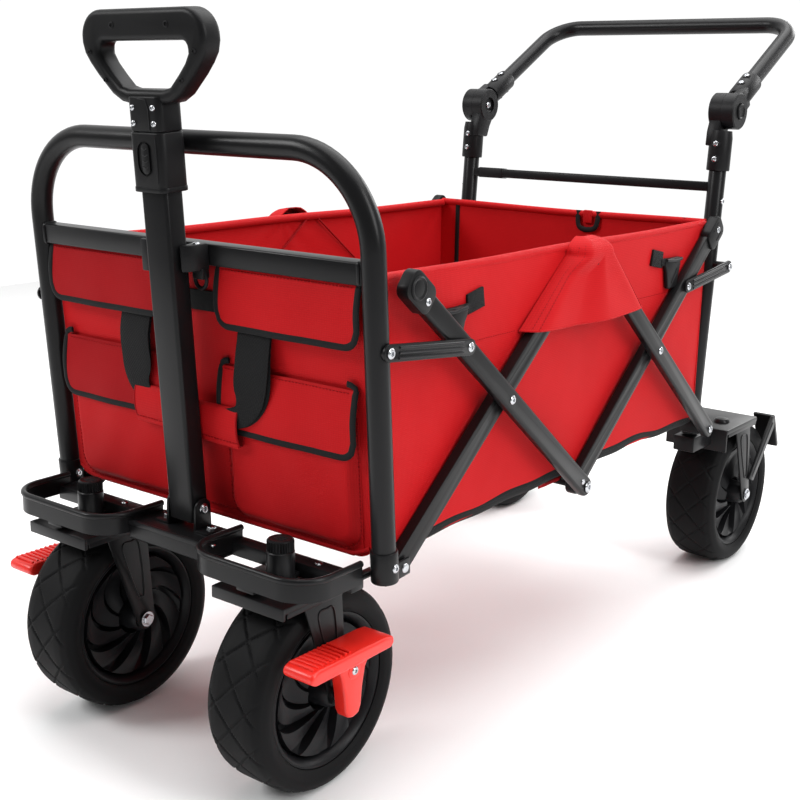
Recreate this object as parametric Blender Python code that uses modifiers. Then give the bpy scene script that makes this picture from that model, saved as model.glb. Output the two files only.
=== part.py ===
"""Folding wagon with a telescoping pull handle, a push bar, a cloth basket and a scissor frame.

Everything is measured in metres, +Z up. Within the model the front hoop stands on y = 0 and the
basket runs towards +Y; the whole wagon is then moved along Y so that its box is centred there.
Each assembly is an empty on its own joint axis, and its pieces are modelled about that empty.
"""

import math

import bmesh
import bpy
from mathutils import Matrix, Vector

# ---- clearances and standard stock --------------------------------------------------------------
GAP = 0.0003
TUBE_R = 0.0125
PIN_R = 0.004
PIN_GAP = 0.0003
AXLE_R = 0.005
BAR_WIDTH = 0.025
BAR_THICK = 0.012
CLOTH = 0.005
TUBE_SIDES = 12
ROUND_SIDES = 16
WHEEL_SIDES = 32

# ---- wheels -------------------------------------------------------------------------------------
WHEEL_R = 0.114
TYRE_WIDTH = 0.082
RIM_R = 0.086
HUB_R = 0.018
AXLE_Z = WHEEL_R * math.cos(math.pi / WHEEL_SIDES)
FORK_INSIDE = 0.0465
FORK_PLATE = 0.0035
CROWN_TOP = 0.2385
CROWN_THICK = 0.0075
CASTER_X = 0.152
CASTER_Y = -0.050
CASTER_TRAIL = 0.036
REAR_AXLE_TRAIL = 0.139

# ---- basket -------------------------------------------------------------------------------------
BASKET_HALF = 0.2352
BASKET_BOTTOM = 0.267
BASKET_TOP = 0.563

# ---- scissor frame ------------------------------------------------------------------------------
PIVOT_FRONT_Y = 0.030
PIVOT_LOW_Z = 0.256
PIVOT_HIGH_Z = 0.549
CELL_SPAN = 0.365
INNER_BAR_X = BASKET_HALF + GAP
OUTER_BAR_X = INNER_BAR_X + BAR_THICK + 0.0015
LINK_DROP = 0.1139
LINK_THICK = 0.004
LINK_WIDTH = 0.018
LINK_PIVOT_Z = 0.492
REAR_WALL_SETBACK = 0.008
PIVOT_MID_Y = PIVOT_FRONT_Y + CELL_SPAN
PIVOT_REAR_Y = PIVOT_MID_Y + CELL_SPAN
REAR_WALL_Y = PIVOT_REAR_Y - REAR_WALL_SETBACK

# ---- front frame --------------------------------------------------------------------------------
HOOP_CLEARANCE = 0.0023
HOOP_HALF = BASKET_HALF + HOOP_CLEARANCE + TUBE_R
HOOP_FOOT_Z = 0.2525
HOOP_TOP_Z = 0.681
HOOP_CORNER_R = 0.095
FRONT_LEAN = math.radians(4.2)
FRONT_BAR_Z = 0.567
FERRULE_R = 0.0145
LOOP_BOTTOM = 0.2415
LOOP_TOP = 0.2735
LOOP_WALL = 0.004
LOOP_FRONT_Y = -0.105
LOOP_INNER_X = 0.062
RAIL_BACK_Y = -0.014
RAIL_DEPTH = 0.020
RAIL_TOP = 0.2585
CHANNEL_TOP = 0.262
STEM_R = 0.008
HOUSING_R = 0.015

# ---- pull handle --------------------------------------------------------------------------------
HANDLE_PIVOT_Y = -0.036
HANDLE_PIVOT_Z = 0.287
HANDLE_WIDTH = 0.038
HANDLE_DEPTH = 0.025
HANDLE_WALL = 0.002
COLLAR_START = 0.346
COLLAR_HEIGHT = 0.060
COLLAR_WIDTH = 0.048
COLLAR_DEPTH = 0.036
GRIP_SOCKET = 0.033
GRIP_HEIGHT = 0.090
GRIP_HALF = 0.104
GRIP_DEPTH = 0.026
BUTTON_TRAVEL = 0.0025

# ---- rear frame and push bar --------------------------------------------------------------------
REAR_TUBE_INSET = 0.0172
REAR_SEAT_OFFSET = 0.008
REAR_FOOT_SETBACK = 0.034
REAR_HALF = BASKET_HALF - REAR_TUBE_INSET
REAR_WHEEL_X = REAR_HALF - REAR_SEAT_OFFSET
REAR_FOOT_Y = REAR_WALL_Y + REAR_FOOT_SETBACK
REAR_AXLE_Y = REAR_FOOT_Y + REAR_AXLE_TRAIL
REAR_FOOT_Z = 0.260
REAR_LEAN = math.radians(-4.46)
REAR_BAR_Z = 0.605
REAR_BAR_SIZE = 0.014
SOCKET_BOTTOM_Z = 0.6285
SOCKET_R = 0.0165
DRUM_SETBACK = 0.0485
DRUM_Y = REAR_FOOT_Y + DRUM_SETBACK
DRUM_Z = 0.7133
DRUM_R = 0.026
DRUM_HALF = 0.0195
ARM_RISE = math.radians(29.0)
ARM_REACH = 0.2726
ARM_CORNER_R = 0.050
UPPER_SOCKET_START = 0.031
UPPER_SOCKET_END = 0.088
JOINT_BUTTON_R = 0.011

# ---- floor --------------------------------------------------------------------------------------
FLOOR_FRONT_Y = 0.012
FLOOR_REAR_GAP = 0.007
FLOOR_MIDDLE = 0.083
FLOOR_REAR_Y = REAR_WALL_Y - FLOOR_REAR_GAP
FLOOR_BOARD = (FLOOR_REAR_Y - FLOOR_FRONT_Y - FLOOR_MIDDLE) / 2
FLOOR_THICK = 0.006
FLOOR_Z = 0.272
FLOOR_STRIP_GAP = 0.0035

# ---- worked out from the above ------------------------------------------------------------------
CELL_RISE = PIVOT_HIGH_Z - PIVOT_LOW_Z
BAR_LENGTH = math.hypot(CELL_SPAN, CELL_RISE)
BAR_TILT = math.atan2(CELL_RISE, CELL_SPAN)
CASTER_AXLE_Y = CASTER_Y + CASTER_TRAIL
FRONT_MOST_Y = CASTER_AXLE_Y - AXLE_Z
REAR_MOST_Y = DRUM_Y + ARM_REACH * math.cos(ARM_RISE) + TUBE_R
CENTRE_Y = (FRONT_MOST_Y + REAR_MOST_Y) / 2
RAIL_FRONT_Y = RAIL_BACK_Y - RAIL_DEPTH
PIN_HOLE_R = PIN_R + PIN_GAP
AXLE_HOLE_R = AXLE_R + PIN_GAP
CROWN_BOTTOM = CROWN_TOP - CROWN_THICK
FORK_OUTSIDE = FORK_INSIDE + FORK_PLATE
CROWN_HALF = FORK_OUTSIDE + 0.0005

SIDES = {"L": -1, "R": 1}

# Name: (red, green, blue), metallic, roughness
FINISHES = {
    "black_frame": ((0.014, 0.014, 0.015), 0.3, 0.42),
    "black_plastic": ((0.018, 0.018, 0.019), 0.0, 0.55),
    "tyre_rubber": ((0.012, 0.012, 0.013), 0.0, 0.75),
    "rim_plastic": ((0.022, 0.022, 0.024), 0.0, 0.5),
    "red_pedal": ((0.80, 0.035, 0.030), 0.0, 0.35),
    "red_cloth": ((0.560, 0.020, 0.028), 0.0, 0.85),
    "steel": ((0.62, 0.62, 0.64), 1.0, 0.3),
}


def clear_scene():
    """Empties the startup scene."""
    for thing in list(bpy.data.objects):
        bpy.data.objects.remove(thing, do_unlink=True)


def make_material(name):
    """One Principled material for a finish in the table above."""
    colour, metallic, roughness = FINISHES[name]
    material = bpy.data.materials.new(name)
    material.use_nodes = True
    shader = material.node_tree.nodes["Principled BSDF"]
    shader.inputs["Base Color"].default_value = (*colour, 1.0)
    shader.inputs["Metallic"].default_value = metallic
    shader.inputs["Roughness"].default_value = roughness
    material.diffuse_color = (*colour, 1.0)
    return material


def assembly(name, location, parent, turn=0.0):
    """An empty on a joint's axis, turned about X, that carries the pieces modelled about it."""
    empty = bpy.data.objects.new(name, None)
    empty.empty_display_size = 0.03
    wagon_parts.objects.link(empty)
    empty.location = location
    empty.rotation_euler = (turn, 0.0, 0.0)
    empty.parent = parent
    return empty


def tidy(obj):
    """Welds an object's mesh and turns its faces outwards."""
    work = bmesh.new()
    work.from_mesh(obj.data)
    bmesh.ops.remove_doubles(work, verts=work.verts, dist=1e-6)
    bmesh.ops.recalc_face_normals(work, faces=work.faces)
    work.to_mesh(obj.data)
    work.free()
    return obj


def apply_all(obj):
    """Applies every modifier of an object."""
    bpy.context.view_layer.objects.active = obj
    for modifier in list(obj.modifiers):
        bpy.ops.object.modifier_apply(modifier=modifier.name)
    return obj


def apply_place(obj):
    """Moves an object's place into its mesh."""
    obj.data.transform(obj.matrix_basis)
    obj.matrix_basis = Matrix.Identity(4)
    return obj


def box(low, high):
    """A box between two corners."""
    size = Vector(high) - Vector(low)
    bpy.ops.mesh.primitive_cube_add(size=1.0, location=(Vector(low) + Vector(high)) / 2)
    obj = bpy.context.object
    obj.scale = size
    return apply_place(obj)


def rod(radius, start, end, sides=ROUND_SIDES, turn=0.0):
    """A cylinder between two points."""
    start, end = Vector(start), Vector(end)
    run = end - start
    bpy.ops.mesh.primitive_cylinder_add(
        vertices=sides, radius=radius, depth=run.length, location=(start + end) / 2
    )
    obj = bpy.context.object
    obj.rotation_mode = "QUATERNION"
    obj.rotation_quaternion = run.to_track_quat("Z", "Y") @ Matrix.Rotation(turn, 3, "Z").to_quaternion()
    bpy.context.view_layer.update()
    return apply_place(obj)


def mesh_from_curve(curve_obj):
    """The welded mesh of a curve object, which it replaces."""
    graph = bpy.context.evaluated_depsgraph_get()
    mesh = bpy.data.meshes.new_from_object(curve_obj.evaluated_get(graph))
    obj = bpy.data.objects.new("piece", mesh)
    bpy.context.scene.collection.objects.link(obj)
    obj.matrix_world = curve_obj.matrix_world
    bpy.data.objects.remove(curve_obj, do_unlink=True)
    return tidy(obj)


def new_curve(dimensions):
    """An empty curve object in the scene."""
    curve = bpy.data.curves.new("curve", "CURVE")
    curve.dimensions = dimensions
    obj = bpy.data.objects.new("curve", curve)
    bpy.context.scene.collection.objects.link(obj)
    return obj


def add_spline(curve, points, closed):
    """Adds a straight-sided spline through the points."""
    spline = curve.splines.new("POLY")
    spline.points.add(len(points) - 1)
    for slot, point in zip(spline.points, points):
        slot.co = (*point, 1.0)
    spline.use_cyclic_u = closed


def tube(points, radius):
    """A round tube along the points, with filled caps."""
    obj = new_curve("3D")
    add_spline(obj.data, points, closed=False)
    obj.data.bevel_depth = radius
    obj.data.bevel_resolution = (TUBE_SIDES - 4) // 2
    obj.data.use_fill_caps = True
    return mesh_from_curve(obj)


def prism(outline, low, high, axis="X", holes=()):
    """A flat outline, with holes, given thickness from low to high along an axis.

    The outline's two numbers are (y, z) for axis X, (x, z) for Y and (x, y) for Z.
    """
    obj = new_curve("2D")
    obj.data.fill_mode = "BOTH"
    obj.data.extrude = (high - low) / 2
    for ring in (outline, *holes):
        add_spline(obj.data, [(a, b, 0.0) for a, b in ring], closed=True)
    solid = mesh_from_curve(obj)
    middle = (low + high) / 2
    turns = {
        "X": Matrix(((0, 0, 1, middle), (1, 0, 0, 0), (0, 1, 0, 0), (0, 0, 0, 1))),
        "Y": Matrix(((1, 0, 0, 0), (0, 0, -1, middle), (0, 1, 0, 0), (0, 0, 0, 1))),
        "Z": Matrix.Translation((0, 0, middle)),
    }
    solid.data.transform(turns[axis])
    return tidy(solid)


def turned(profile, axis="X", steps=WHEEL_SIDES, ring=True):
    """A profile of (radius, height) points, spun about an axis.

    Args:
        ring: the profile is closed and stays off the axis; otherwise its ends lie on the axis.
    """
    mesh = bpy.data.meshes.new("profile")
    count = len(profile)
    edges = [(index, index + 1) for index in range(count - 1)]
    if ring:
        edges.append((count - 1, 0))
    mesh.from_pydata([(radius, 0.0, height) for radius, height in profile], edges, [])
    obj = bpy.data.objects.new("turned", mesh)
    bpy.context.scene.collection.objects.link(obj)
    screw = obj.modifiers.new("Spin", "SCREW")
    screw.steps = screw.render_steps = steps
    screw.use_merge_vertices = True
    screw.merge_threshold = 1e-5
    apply_all(obj)
    if axis == "X":
        half_step = Matrix.Rotation(math.pi / steps, 4, "Z")
        obj.data.transform(Matrix.Rotation(math.pi / 2, 4, "Y") @ half_step)
    return tidy(obj)


def boolean(obj, others, operation):
    """Applies a Boolean with each of the others, which are then removed."""
    for other in others:
        modifier = obj.modifiers.new("Boolean", "BOOLEAN")
        modifier.operation = operation
        modifier.object = other
        apply_all(obj)
        bpy.data.objects.remove(other, do_unlink=True)
    return tidy(obj)


def join(obj, *others):
    """The union of the pieces, as one solid."""
    return boolean(obj, others, "UNION")


def cut(obj, *cutters):
    """The first piece without the others."""
    return boolean(obj, cutters, "DIFFERENCE")


def finish(obj, name, parent, material, smooth=True):
    """Names a piece, gives it its finish and hangs it on its assembly."""
    obj.name = name
    obj.data.name = name
    for collection in list(obj.users_collection):
        collection.objects.unlink(obj)
    wagon_parts.objects.link(obj)
    obj.data.materials.clear()
    obj.data.materials.append(materials[material])
    if smooth:
        obj.data.shade_smooth()
        obj.data.set_sharp_from_angle(angle=math.radians(35))
    obj.parent = parent
    return obj


def span(side, near, far):
    """A stretch along X on one side of the wagon, as (low, high)."""
    return tuple(sorted((side * near, side * far)))


def arc(centre, radius, start, end, count):
    """Points along an arc, with angles in degrees."""
    steps = [math.radians(start + (end - start) * step / count) for step in range(count + 1)]
    return [(centre[0] + radius * math.cos(a), centre[1] + radius * math.sin(a)) for a in steps]


def stadium(start, end, width):
    """A strip with round ends along the first axis, centred on the second."""
    half = width / 2
    return arc((start, 0), half, 270, 90, 6) + arc((end, 0), half, 90, -90, 6)


def rounded_box(width, depth, radius):
    """A rectangle about the origin with rounded corners."""
    a, b = width / 2 - radius, depth / 2 - radius
    return (
        arc((a, b), radius, 0, 90, 3)
        + arc((-a, b), radius, 90, 180, 3)
        + arc((-a, -b), radius, 180, 270, 3)
        + arc((a, -b), radius, 270, 360, 3)
    )


def hole(centre, radius, sides=12):
    """A round hole's outline."""
    return arc(centre, radius, 0, 360 - 360 / sides, sides - 1)


def seen_from(origin, turn, point):
    """A (y, z) point of the wagon in the frame of an assembly turned about X."""
    dy, dz = point[0] - origin[0], point[1] - origin[1]
    return dy * math.cos(turn) + dz * math.sin(turn), -dy * math.sin(turn) + dz * math.cos(turn)


# ---- front frame --------------------------------------------------------------------------------
def in_front(y, z):
    """A point of the wagon in the leaning front frame."""
    return seen_from((0.0, HOOP_FOOT_Z), FRONT_LEAN, (y, z))


def along_front(z):
    """How far up the leaning front frame a height of the wagon lies."""
    return (z - HOOP_FOOT_Z) / math.cos(FRONT_LEAN)


def front_hoop(frame):
    """The welded hoop: tube, cross bar, foot ferrules, pivot ears and link studs."""
    top = along_front(HOOP_TOP_Z)
    corner = arc((HOOP_HALF - HOOP_CORNER_R, top - HOOP_CORNER_R), HOOP_CORNER_R, 0, 90, 6)
    right = [(HOOP_HALF, 0.0), *corner]
    path = [(x, 0.0, z) for x, z in right] + [(-x, 0.0, z) for x, z in reversed(right)]
    hoop = tube(path, TUBE_R)
    bar_z = along_front(FRONT_BAR_Z)
    reach = HOOP_HALF - TUBE_R / 2
    extras = [box((-reach, -0.009, bar_z - 0.0115), (reach, 0.009, bar_z + 0.0115))]
    pivot_y, pivot_z = in_front(PIVOT_FRONT_Y, PIVOT_LOW_Z)
    link_z = along_front(LINK_PIVOT_Z)
    ear_x = INNER_BAR_X + BAR_THICK + GAP * 5
    for side in SIDES.values():
        extras.append(rod(FERRULE_R, (side * HOOP_HALF, 0, -0.002), (side * HOOP_HALF, 0, 0.032)))
        low, high = span(side, ear_x, ear_x + 0.0035)
        extras.append(box((low, 0.0, pivot_z - 0.010), (high, pivot_y + 0.010, pivot_z + 0.010)))
        pin = [(side * x, pivot_y, pivot_z) for x in (INNER_BAR_X + GAP, ear_x + 0.002)]
        extras.append(rod(PIN_R, *pin))
        stud = [(side * x, 0.0, link_z) for x in (HOOP_HALF, LINK_OUTER_X + LINK_THICK + 0.001)]
        extras.append(rod(PIN_R, *stud))
    finish(join(hoop, *extras), "front_hoop", frame, "black_frame")


def handle_clip(frame):
    """The U-shaped clip on the cross bar that holds the pull handle upright."""
    bar_z = along_front(FRONT_BAR_Z)
    mouth = HANDLE_WIDTH / 2 + 0.0015
    wall = 0.004
    back = -0.009 - GAP
    base = box((-mouth - wall, back - wall, bar_z - 0.013), (mouth + wall, back, bar_z + 0.013))
    arms = [
        box((low, HANDLE_LINE_Y - 0.003, bar_z - 0.013), (high, back - wall / 2, bar_z + 0.013))
        for low, high in (span(side, mouth, mouth + wall) for side in SIDES.values())
    ]
    finish(join(base, *arms), "handle_clip", frame, "black_plastic")


def front_panel(frame):
    """The basket's front wall, which leans with the hoop and hangs under the cross bar."""
    low = in_front(0.0, BASKET_BOTTOM)[1]
    high = along_front(FRONT_BAR_Z) - 0.0115 - GAP
    panel = box((-BASKET_HALF, 0.0, low), (BASKET_HALF, CLOTH, high))
    finish(panel, "front_panel", frame, "red_cloth")


def loop_outline(side, inset):
    """One D-shaped strip of the subframe, seen from above."""
    near, far = LOOP_INNER_X + inset, BASKET_HALF - inset
    front, back = LOOP_FRONT_Y + inset, RAIL_BACK_Y - 0.002 - inset
    radius = 0.040 - inset
    ring = [(near, back), *arc((near + radius, front + radius), radius, 180, 270, 5)]
    ring += [*arc((far - radius, front + radius), radius, 270, 360, 5), (far, back)]
    return [(side * x, y) for x, y in ring]


def front_subframe(frame):
    """The strips, rail and channel that carry the casters and the foot of the pull handle."""
    rail_half = BASKET_HALF - 0.001
    rail = box((-rail_half, RAIL_FRONT_Y, LOOP_BOTTOM + 0.0005), (rail_half, RAIL_BACK_Y, RAIL_TOP))
    channel_x = LOOP_INNER_X + LOOP_WALL / 2
    extras = [box((-channel_x, -0.068, LOOP_BOTTOM - 0.0005), (channel_x, RAIL_BACK_Y - 0.001, CHANNEL_TOP))]
    bores = []
    ear_near = HANDLE_WIDTH / 2 + 0.001
    ear = [(HANDLE_PIVOT_Y - 0.011, CHANNEL_TOP - 0.002), (HANDLE_PIVOT_Y + 0.011, CHANNEL_TOP - 0.002)]
    ear += arc((HANDLE_PIVOT_Y, HANDLE_PIVOT_Z), 0.011, 0, 180, 6)
    for side in SIDES.values():
        extras.append(
            prism(loop_outline(side, 0), LOOP_BOTTOM, LOOP_TOP, "Z", [loop_outline(side, LOOP_WALL)])
        )
        low, high = span(side, BASKET_HALF - 0.010, BASKET_HALF - 0.0005)
        extras.append(box((low, RAIL_FRONT_Y + 0.003, RAIL_TOP - 0.007), (high, 0.006, RAIL_TOP - 0.0005)))
        low, high = span(side, CASTER_X - 0.012, CASTER_X + 0.012)
        web_front = LOOP_FRONT_Y + LOOP_WALL / 2
        extras.append(box((low, web_front, LOOP_BOTTOM + 0.001), (high, RAIL_FRONT_Y + 0.002, LOOP_BOTTOM + 0.007)))
        place = (side * CASTER_X, CASTER_Y)
        extras.append(rod(HOUSING_R, (*place, LOOP_BOTTOM - 0.0005), (*place, HOUSING_TOP)))
        bores.append(rod(STEM_R + GAP, (*place, LOOP_BOTTOM - 0.01), (*place, HOUSING_TOP + 0.01)))
        pin = hole((HANDLE_PIVOT_Y, HANDLE_PIVOT_Z), PIN_HOLE_R)
        extras.append(prism(ear, *span(side, ear_near, ear_near + 0.0035), "X", [pin]))
    finish(cut(join(rail, *extras), *bores), "front_subframe", frame, "black_frame")


# ---- pull handle --------------------------------------------------------------------------------
def handle_pivot_pin(frame):
    """The bolt through the subframe's ears and the foot of the handle tube."""
    end = HANDLE_WIDTH / 2 + 0.005
    heads = [rod(0.0065, (side * end, 0, 0), (side * (end + 0.003), 0, 0)) for side in SIDES.values()]
    finish(join(rod(PIN_R, (-end - 0.001, 0, 0), (end + 0.001, 0, 0)), *heads), "handle_pivot_pin", frame, "steel")


def handle_tube(frame):
    """The outer rectangular tube, from below its pivot up into the collar."""
    outer = rounded_box(HANDLE_WIDTH, HANDLE_DEPTH, 0.004)
    inner = rounded_box(HANDLE_WIDTH - 2 * HANDLE_WALL, HANDLE_DEPTH - 2 * HANDLE_WALL, 0.002)
    body = prism(outer, -0.015, COLLAR_START + COLLAR_HEIGHT - 0.006, "Z")
    bore = prism(inner, -0.030, COLLAR_START + COLLAR_HEIGHT, "Z")
    pin_hole = rod(PIN_HOLE_R, (-HANDLE_WIDTH, 0, 0), (HANDLE_WIDTH, 0, 0))
    body = cut(body, bore, pin_hole)
    finish(body, "handle_tube", frame, "black_frame")


def button_slot(margin):
    """The outline of the release button, larger by a margin, on the collar's front."""
    centre = COLLAR_START + COLLAR_HEIGHT / 2
    ring = stadium(-0.010, 0.010, 0.0115 + 2 * margin)
    return [(across, centre + along) for along, across in ring]


def handle_collar(frame):
    """The moulded collar on top of the tube, with the slot for the release button."""
    outer = rounded_box(COLLAR_WIDTH, COLLAR_DEPTH, 0.007)
    inner = rounded_box(HANDLE_WIDTH + 2 * GAP, HANDLE_DEPTH + 2 * GAP, 0.004)
    body = prism(outer, COLLAR_START, COLLAR_START + COLLAR_HEIGHT, "Z", [inner])
    slot = prism(button_slot(GAP), -COLLAR_DEPTH, -HANDLE_DEPTH / 2, "Y")
    finish(cut(body, slot), "handle_collar", frame, "black_plastic")


def release_button(frame):
    """The button that frees the telescoping tube."""
    front = -COLLAR_DEPTH / 2 - 0.0006
    finish(prism(button_slot(0.0), front, front + 0.0026, "Y"), "release_button", frame, "black_plastic")


def inner_tube(frame):
    """The sliding tube that carries the grip."""
    ring = rounded_box(INNER_WIDTH, INNER_DEPTH, 0.002)
    finish(prism(ring, 0.012, INNER_TOP, "Z"), "inner_tube", frame, "black_frame")


def handle_grip(frame):
    """The moulded D-shaped grip with its socket on the inner tube."""
    bottom = GRIP_BASE + GRIP_SOCKET - 0.004
    top = bottom + GRIP_HEIGHT
    corner = 0.022
    right = [(0.046, bottom), (GRIP_HALF - 0.006, bottom + 0.042), (GRIP_HALF, bottom + 0.054)]
    right += arc((GRIP_HALF - corner, top - corner), corner, 0, 90, 4)
    outer = right + [(-x, z) for x, z in reversed(right)]
    roof = top - 0.031
    right = [(0.036, bottom + 0.013), (0.066, bottom + 0.036), (0.071, bottom + 0.045)]
    right += arc((0.063, roof - 0.008), 0.008, 0, 90, 2)
    finger_hole = right + [(-x, z) for x, z in reversed(right)]
    loop = prism(outer, -GRIP_DEPTH / 2, GRIP_DEPTH / 2, "Y", [finger_hole])
    socket = prism(rounded_box(0.048, 0.034, 0.007), GRIP_BASE, bottom + 0.006, "Z")
    body = join(loop, socket)
    pocket = prism(
        rounded_box(INNER_WIDTH + 2 * GAP, INNER_DEPTH + 2 * GAP, 0.002),
        GRIP_BASE - 0.01, INNER_TOP + GAP, "Z",
    )
    finish(cut(body, pocket), "handle_grip", frame, "black_plastic")


# ---- wheels and casters -------------------------------------------------------------------------
def wheel(frame, tag):
    """A rubber tyre on a dished plastic rim, spun about the axle."""
    half = TYRE_WIDTH / 2
    seat = RIM_R + GAP
    tyre = [(seat, -half + 0.004), (seat + 0.010, -half), (WHEEL_R - 0.012, -half), (WHEEL_R - 0.002, -half + 0.008)]
    tyre += [(WHEEL_R, -half + 0.018)]
    tyre += [(radius, -height) for radius, height in reversed(tyre)]
    finish(turned(tyre), f"tyre_{tag}", frame, "tyre_rubber")
    hub = FORK_INSIDE - 0.001
    rim = [(AXLE_HOLE_R, -hub), (HUB_R, -hub), (HUB_R + 0.004, -0.014), (RIM_R - 0.012, -0.022)]
    rim += [(RIM_R - 0.006, -half + 0.004), (RIM_R, -half + 0.004)]
    rim += [(radius, -height) for radius, height in reversed(rim)]
    finish(turned(rim), f"rim_{tag}", frame, "rim_plastic")


def fork_arm(side, top, foot, foot_r, axle_hole=True):
    """One pressed arm of a fork: a strip from the crown that ends round at the axle."""
    tilt = math.degrees(math.atan2(foot[1] - top[0][1], foot[0] - (top[0][0] + top[1][0]) / 2))
    ring = [top[1], top[0], *arc(foot, foot_r, tilt + 80, tilt - 80, 6)]
    holes = [hole(foot, AXLE_HOLE_R)] if axle_hole else []
    return prism(ring, *span(side, FORK_INSIDE, FORK_OUTSIDE), "X", holes)


def caster_fork(frame, tag):
    """The swivelling fork: crown plate, lip, two arms and the stem."""
    crown = box((-CROWN_HALF, -0.050, CROWN_BOTTOM), (CROWN_HALF, 0.044, CROWN_TOP))
    lip = box((-FORK_OUTSIDE, -0.0505, CROWN_BOTTOM - 0.008), (FORK_OUTSIDE, -0.046, CROWN_TOP - 0.001))
    stem = rod(STEM_R, (0, 0, CROWN_TOP - 0.003), (0, 0, HOUSING_TOP))
    arms = [
        fork_arm(side, ((0.040, CROWN_TOP - 0.002), (-0.020, CROWN_TOP - 0.002)), (CASTER_TRAIL, AXLE_Z), 0.013)
        for side in SIDES.values()
    ]
    finish(join(crown, lip, stem, *arms), f"caster_fork_{tag}", frame, "black_frame")


def caster_cap(frame, tag):
    """The knurled cap over the caster's stem."""
    start = HOUSING_TOP + GAP
    profile = [(0.0, start), (0.0145, start), (0.0145, start + 0.010), (0.012, start + 0.013), (0.0, start + 0.013)]
    finish(turned(profile, "Z", 20, ring=False), f"caster_cap_{tag}", frame, "black_plastic")


def axle_shaft(play=GAP):
    """A wheel bolt through both arms of a fork, with a head at each end."""
    end = FORK_OUTSIDE + play
    heads = [rod(0.009, (side * end, 0, 0), (side * (end + 0.004), 0, 0)) for side in SIDES.values()]
    return join(rod(AXLE_R, (-end - 0.001, 0, 0), (end + 0.001, 0, 0)), *heads)


def brake_pedal(frame, tag, side):
    """The red foot brake on the outer side of a caster: a ridged plate on a tapered shank."""
    near, far = FORK_OUTSIDE + 0.0004, FORK_OUTSIDE + 0.042
    plate_ring = [(-0.087, 0.020), (-0.082, 0.016), (0.043, 0.016), (0.045, 0.030), (-0.080, 0.033)]
    ring = [(-0.060, 0.018), (-0.024, 0.004), (-0.014, -0.046), (-0.006, -0.054), (0.010, -0.054)]
    ring += [(0.016, -0.046), (0.018, 0.004), (0.036, 0.018), (0.030, 0.029), (-0.060, 0.029)]
    shank_near = FORK_OUTSIDE + AXLE_HEAD + 0.0012
    shank = prism(ring, *span(side, shank_near, shank_near + 0.018), "X")
    plate = prism(plate_ring, *span(side, near, far), "X")
    boss = rod(0.008, (side * near, 0, 0), (side * (shank_near + 0.010), 0, 0))
    finish(join(shank, plate, boss), f"brake_pedal_{tag}", frame, "red_pedal")


# ---- rear frame ---------------------------------------------------------------------------------
def in_rear(y, z):
    """A point of the wagon in the leaning rear frame."""
    return seen_from((REAR_FOOT_Y, REAR_FOOT_Z), REAR_LEAN, (y, z))


def along_rear(z):
    """How far up the leaning rear frame a height of the wagon lies."""
    return (z - REAR_FOOT_Z) / math.cos(REAR_LEAN)


def rear_frame(frame):
    """The two uprights with their cross bar, pivot lugs and link studs."""
    foot, head = along_rear(GUSSET_TOP + 0.0014), along_rear(DRUM_Z - DRUM_R - 0.006)
    pieces = [rod(TUBE_R, (side * REAR_HALF, 0, foot), (side * REAR_HALF, 0, head), TUBE_SIDES) for side in SIDES.values()]
    bar_z, half = along_rear(REAR_BAR_Z), REAR_BAR_SIZE / 2
    pieces.append(box((-REAR_HALF, -half, bar_z - half), (REAR_HALF, half, bar_z + half)))
    pivot_y, pivot_z = in_rear(PIVOT_REAR_Y, PIVOT_LOW_Z)
    link_z = along_rear(LINK_PIVOT_Z)
    for side in SIDES.values():
        low, high = span(side, REAR_HALF, OUTER_BAR_X - GAP * 2)
        pieces.append(box((low, pivot_y - 0.011, pivot_z - 0.0095), (high, 0.0, pivot_z + 0.0095)))
        pin = [(side * x, pivot_y, pivot_z) for x in (INNER_BAR_X, OUTER_BAR_X + BAR_THICK + 0.001)]
        pieces.append(rod(PIN_R, *pin))
        stud = [(side * x, 0.0, link_z) for x in (REAR_HALF, LINK_INNER_X + LINK_THICK + 0.001)]
        pieces.append(rod(PIN_R, *stud))
    finish(join(pieces.pop(2), *pieces), "rear_frame", frame, "black_frame")


def lower_socket(frame, tag, side):
    """The fixed half of a push-bar joint, sleeved over an upright."""
    drum_y, drum_z = in_rear(DRUM_Y, DRUM_Z)
    start = along_rear(SOCKET_BOTTOM_Z)
    top = drum_z - DRUM_R - 0.003
    centre = side * REAR_HALF
    low, high = span(side, REAR_HALF - DRUM_HALF, REAR_HALF - GAP / 2)
    sleeve = rod(SOCKET_R, (centre, 0, start), (centre, 0, top))
    drum = rod(DRUM_R, (low, drum_y, drum_z), (high, drum_y, drum_z), 24)
    neck = box((low + 0.001, -0.012, top - 0.016), (high, drum_y + 0.014, drum_z))
    if side < 0:
        neck.location.x = -0.001
        apply_place(neck)
    body = join(sleeve, drum, neck)
    bore_top = along_rear(DRUM_Z - DRUM_R - 0.006) + GAP
    bore = rod(TUBE_R + GAP, (centre, 0, start - 0.01), (centre, 0, bore_top), TUBE_SIDES)
    finish(cut(body, bore), f"joint_socket_{tag}", frame, "black_plastic")


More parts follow.
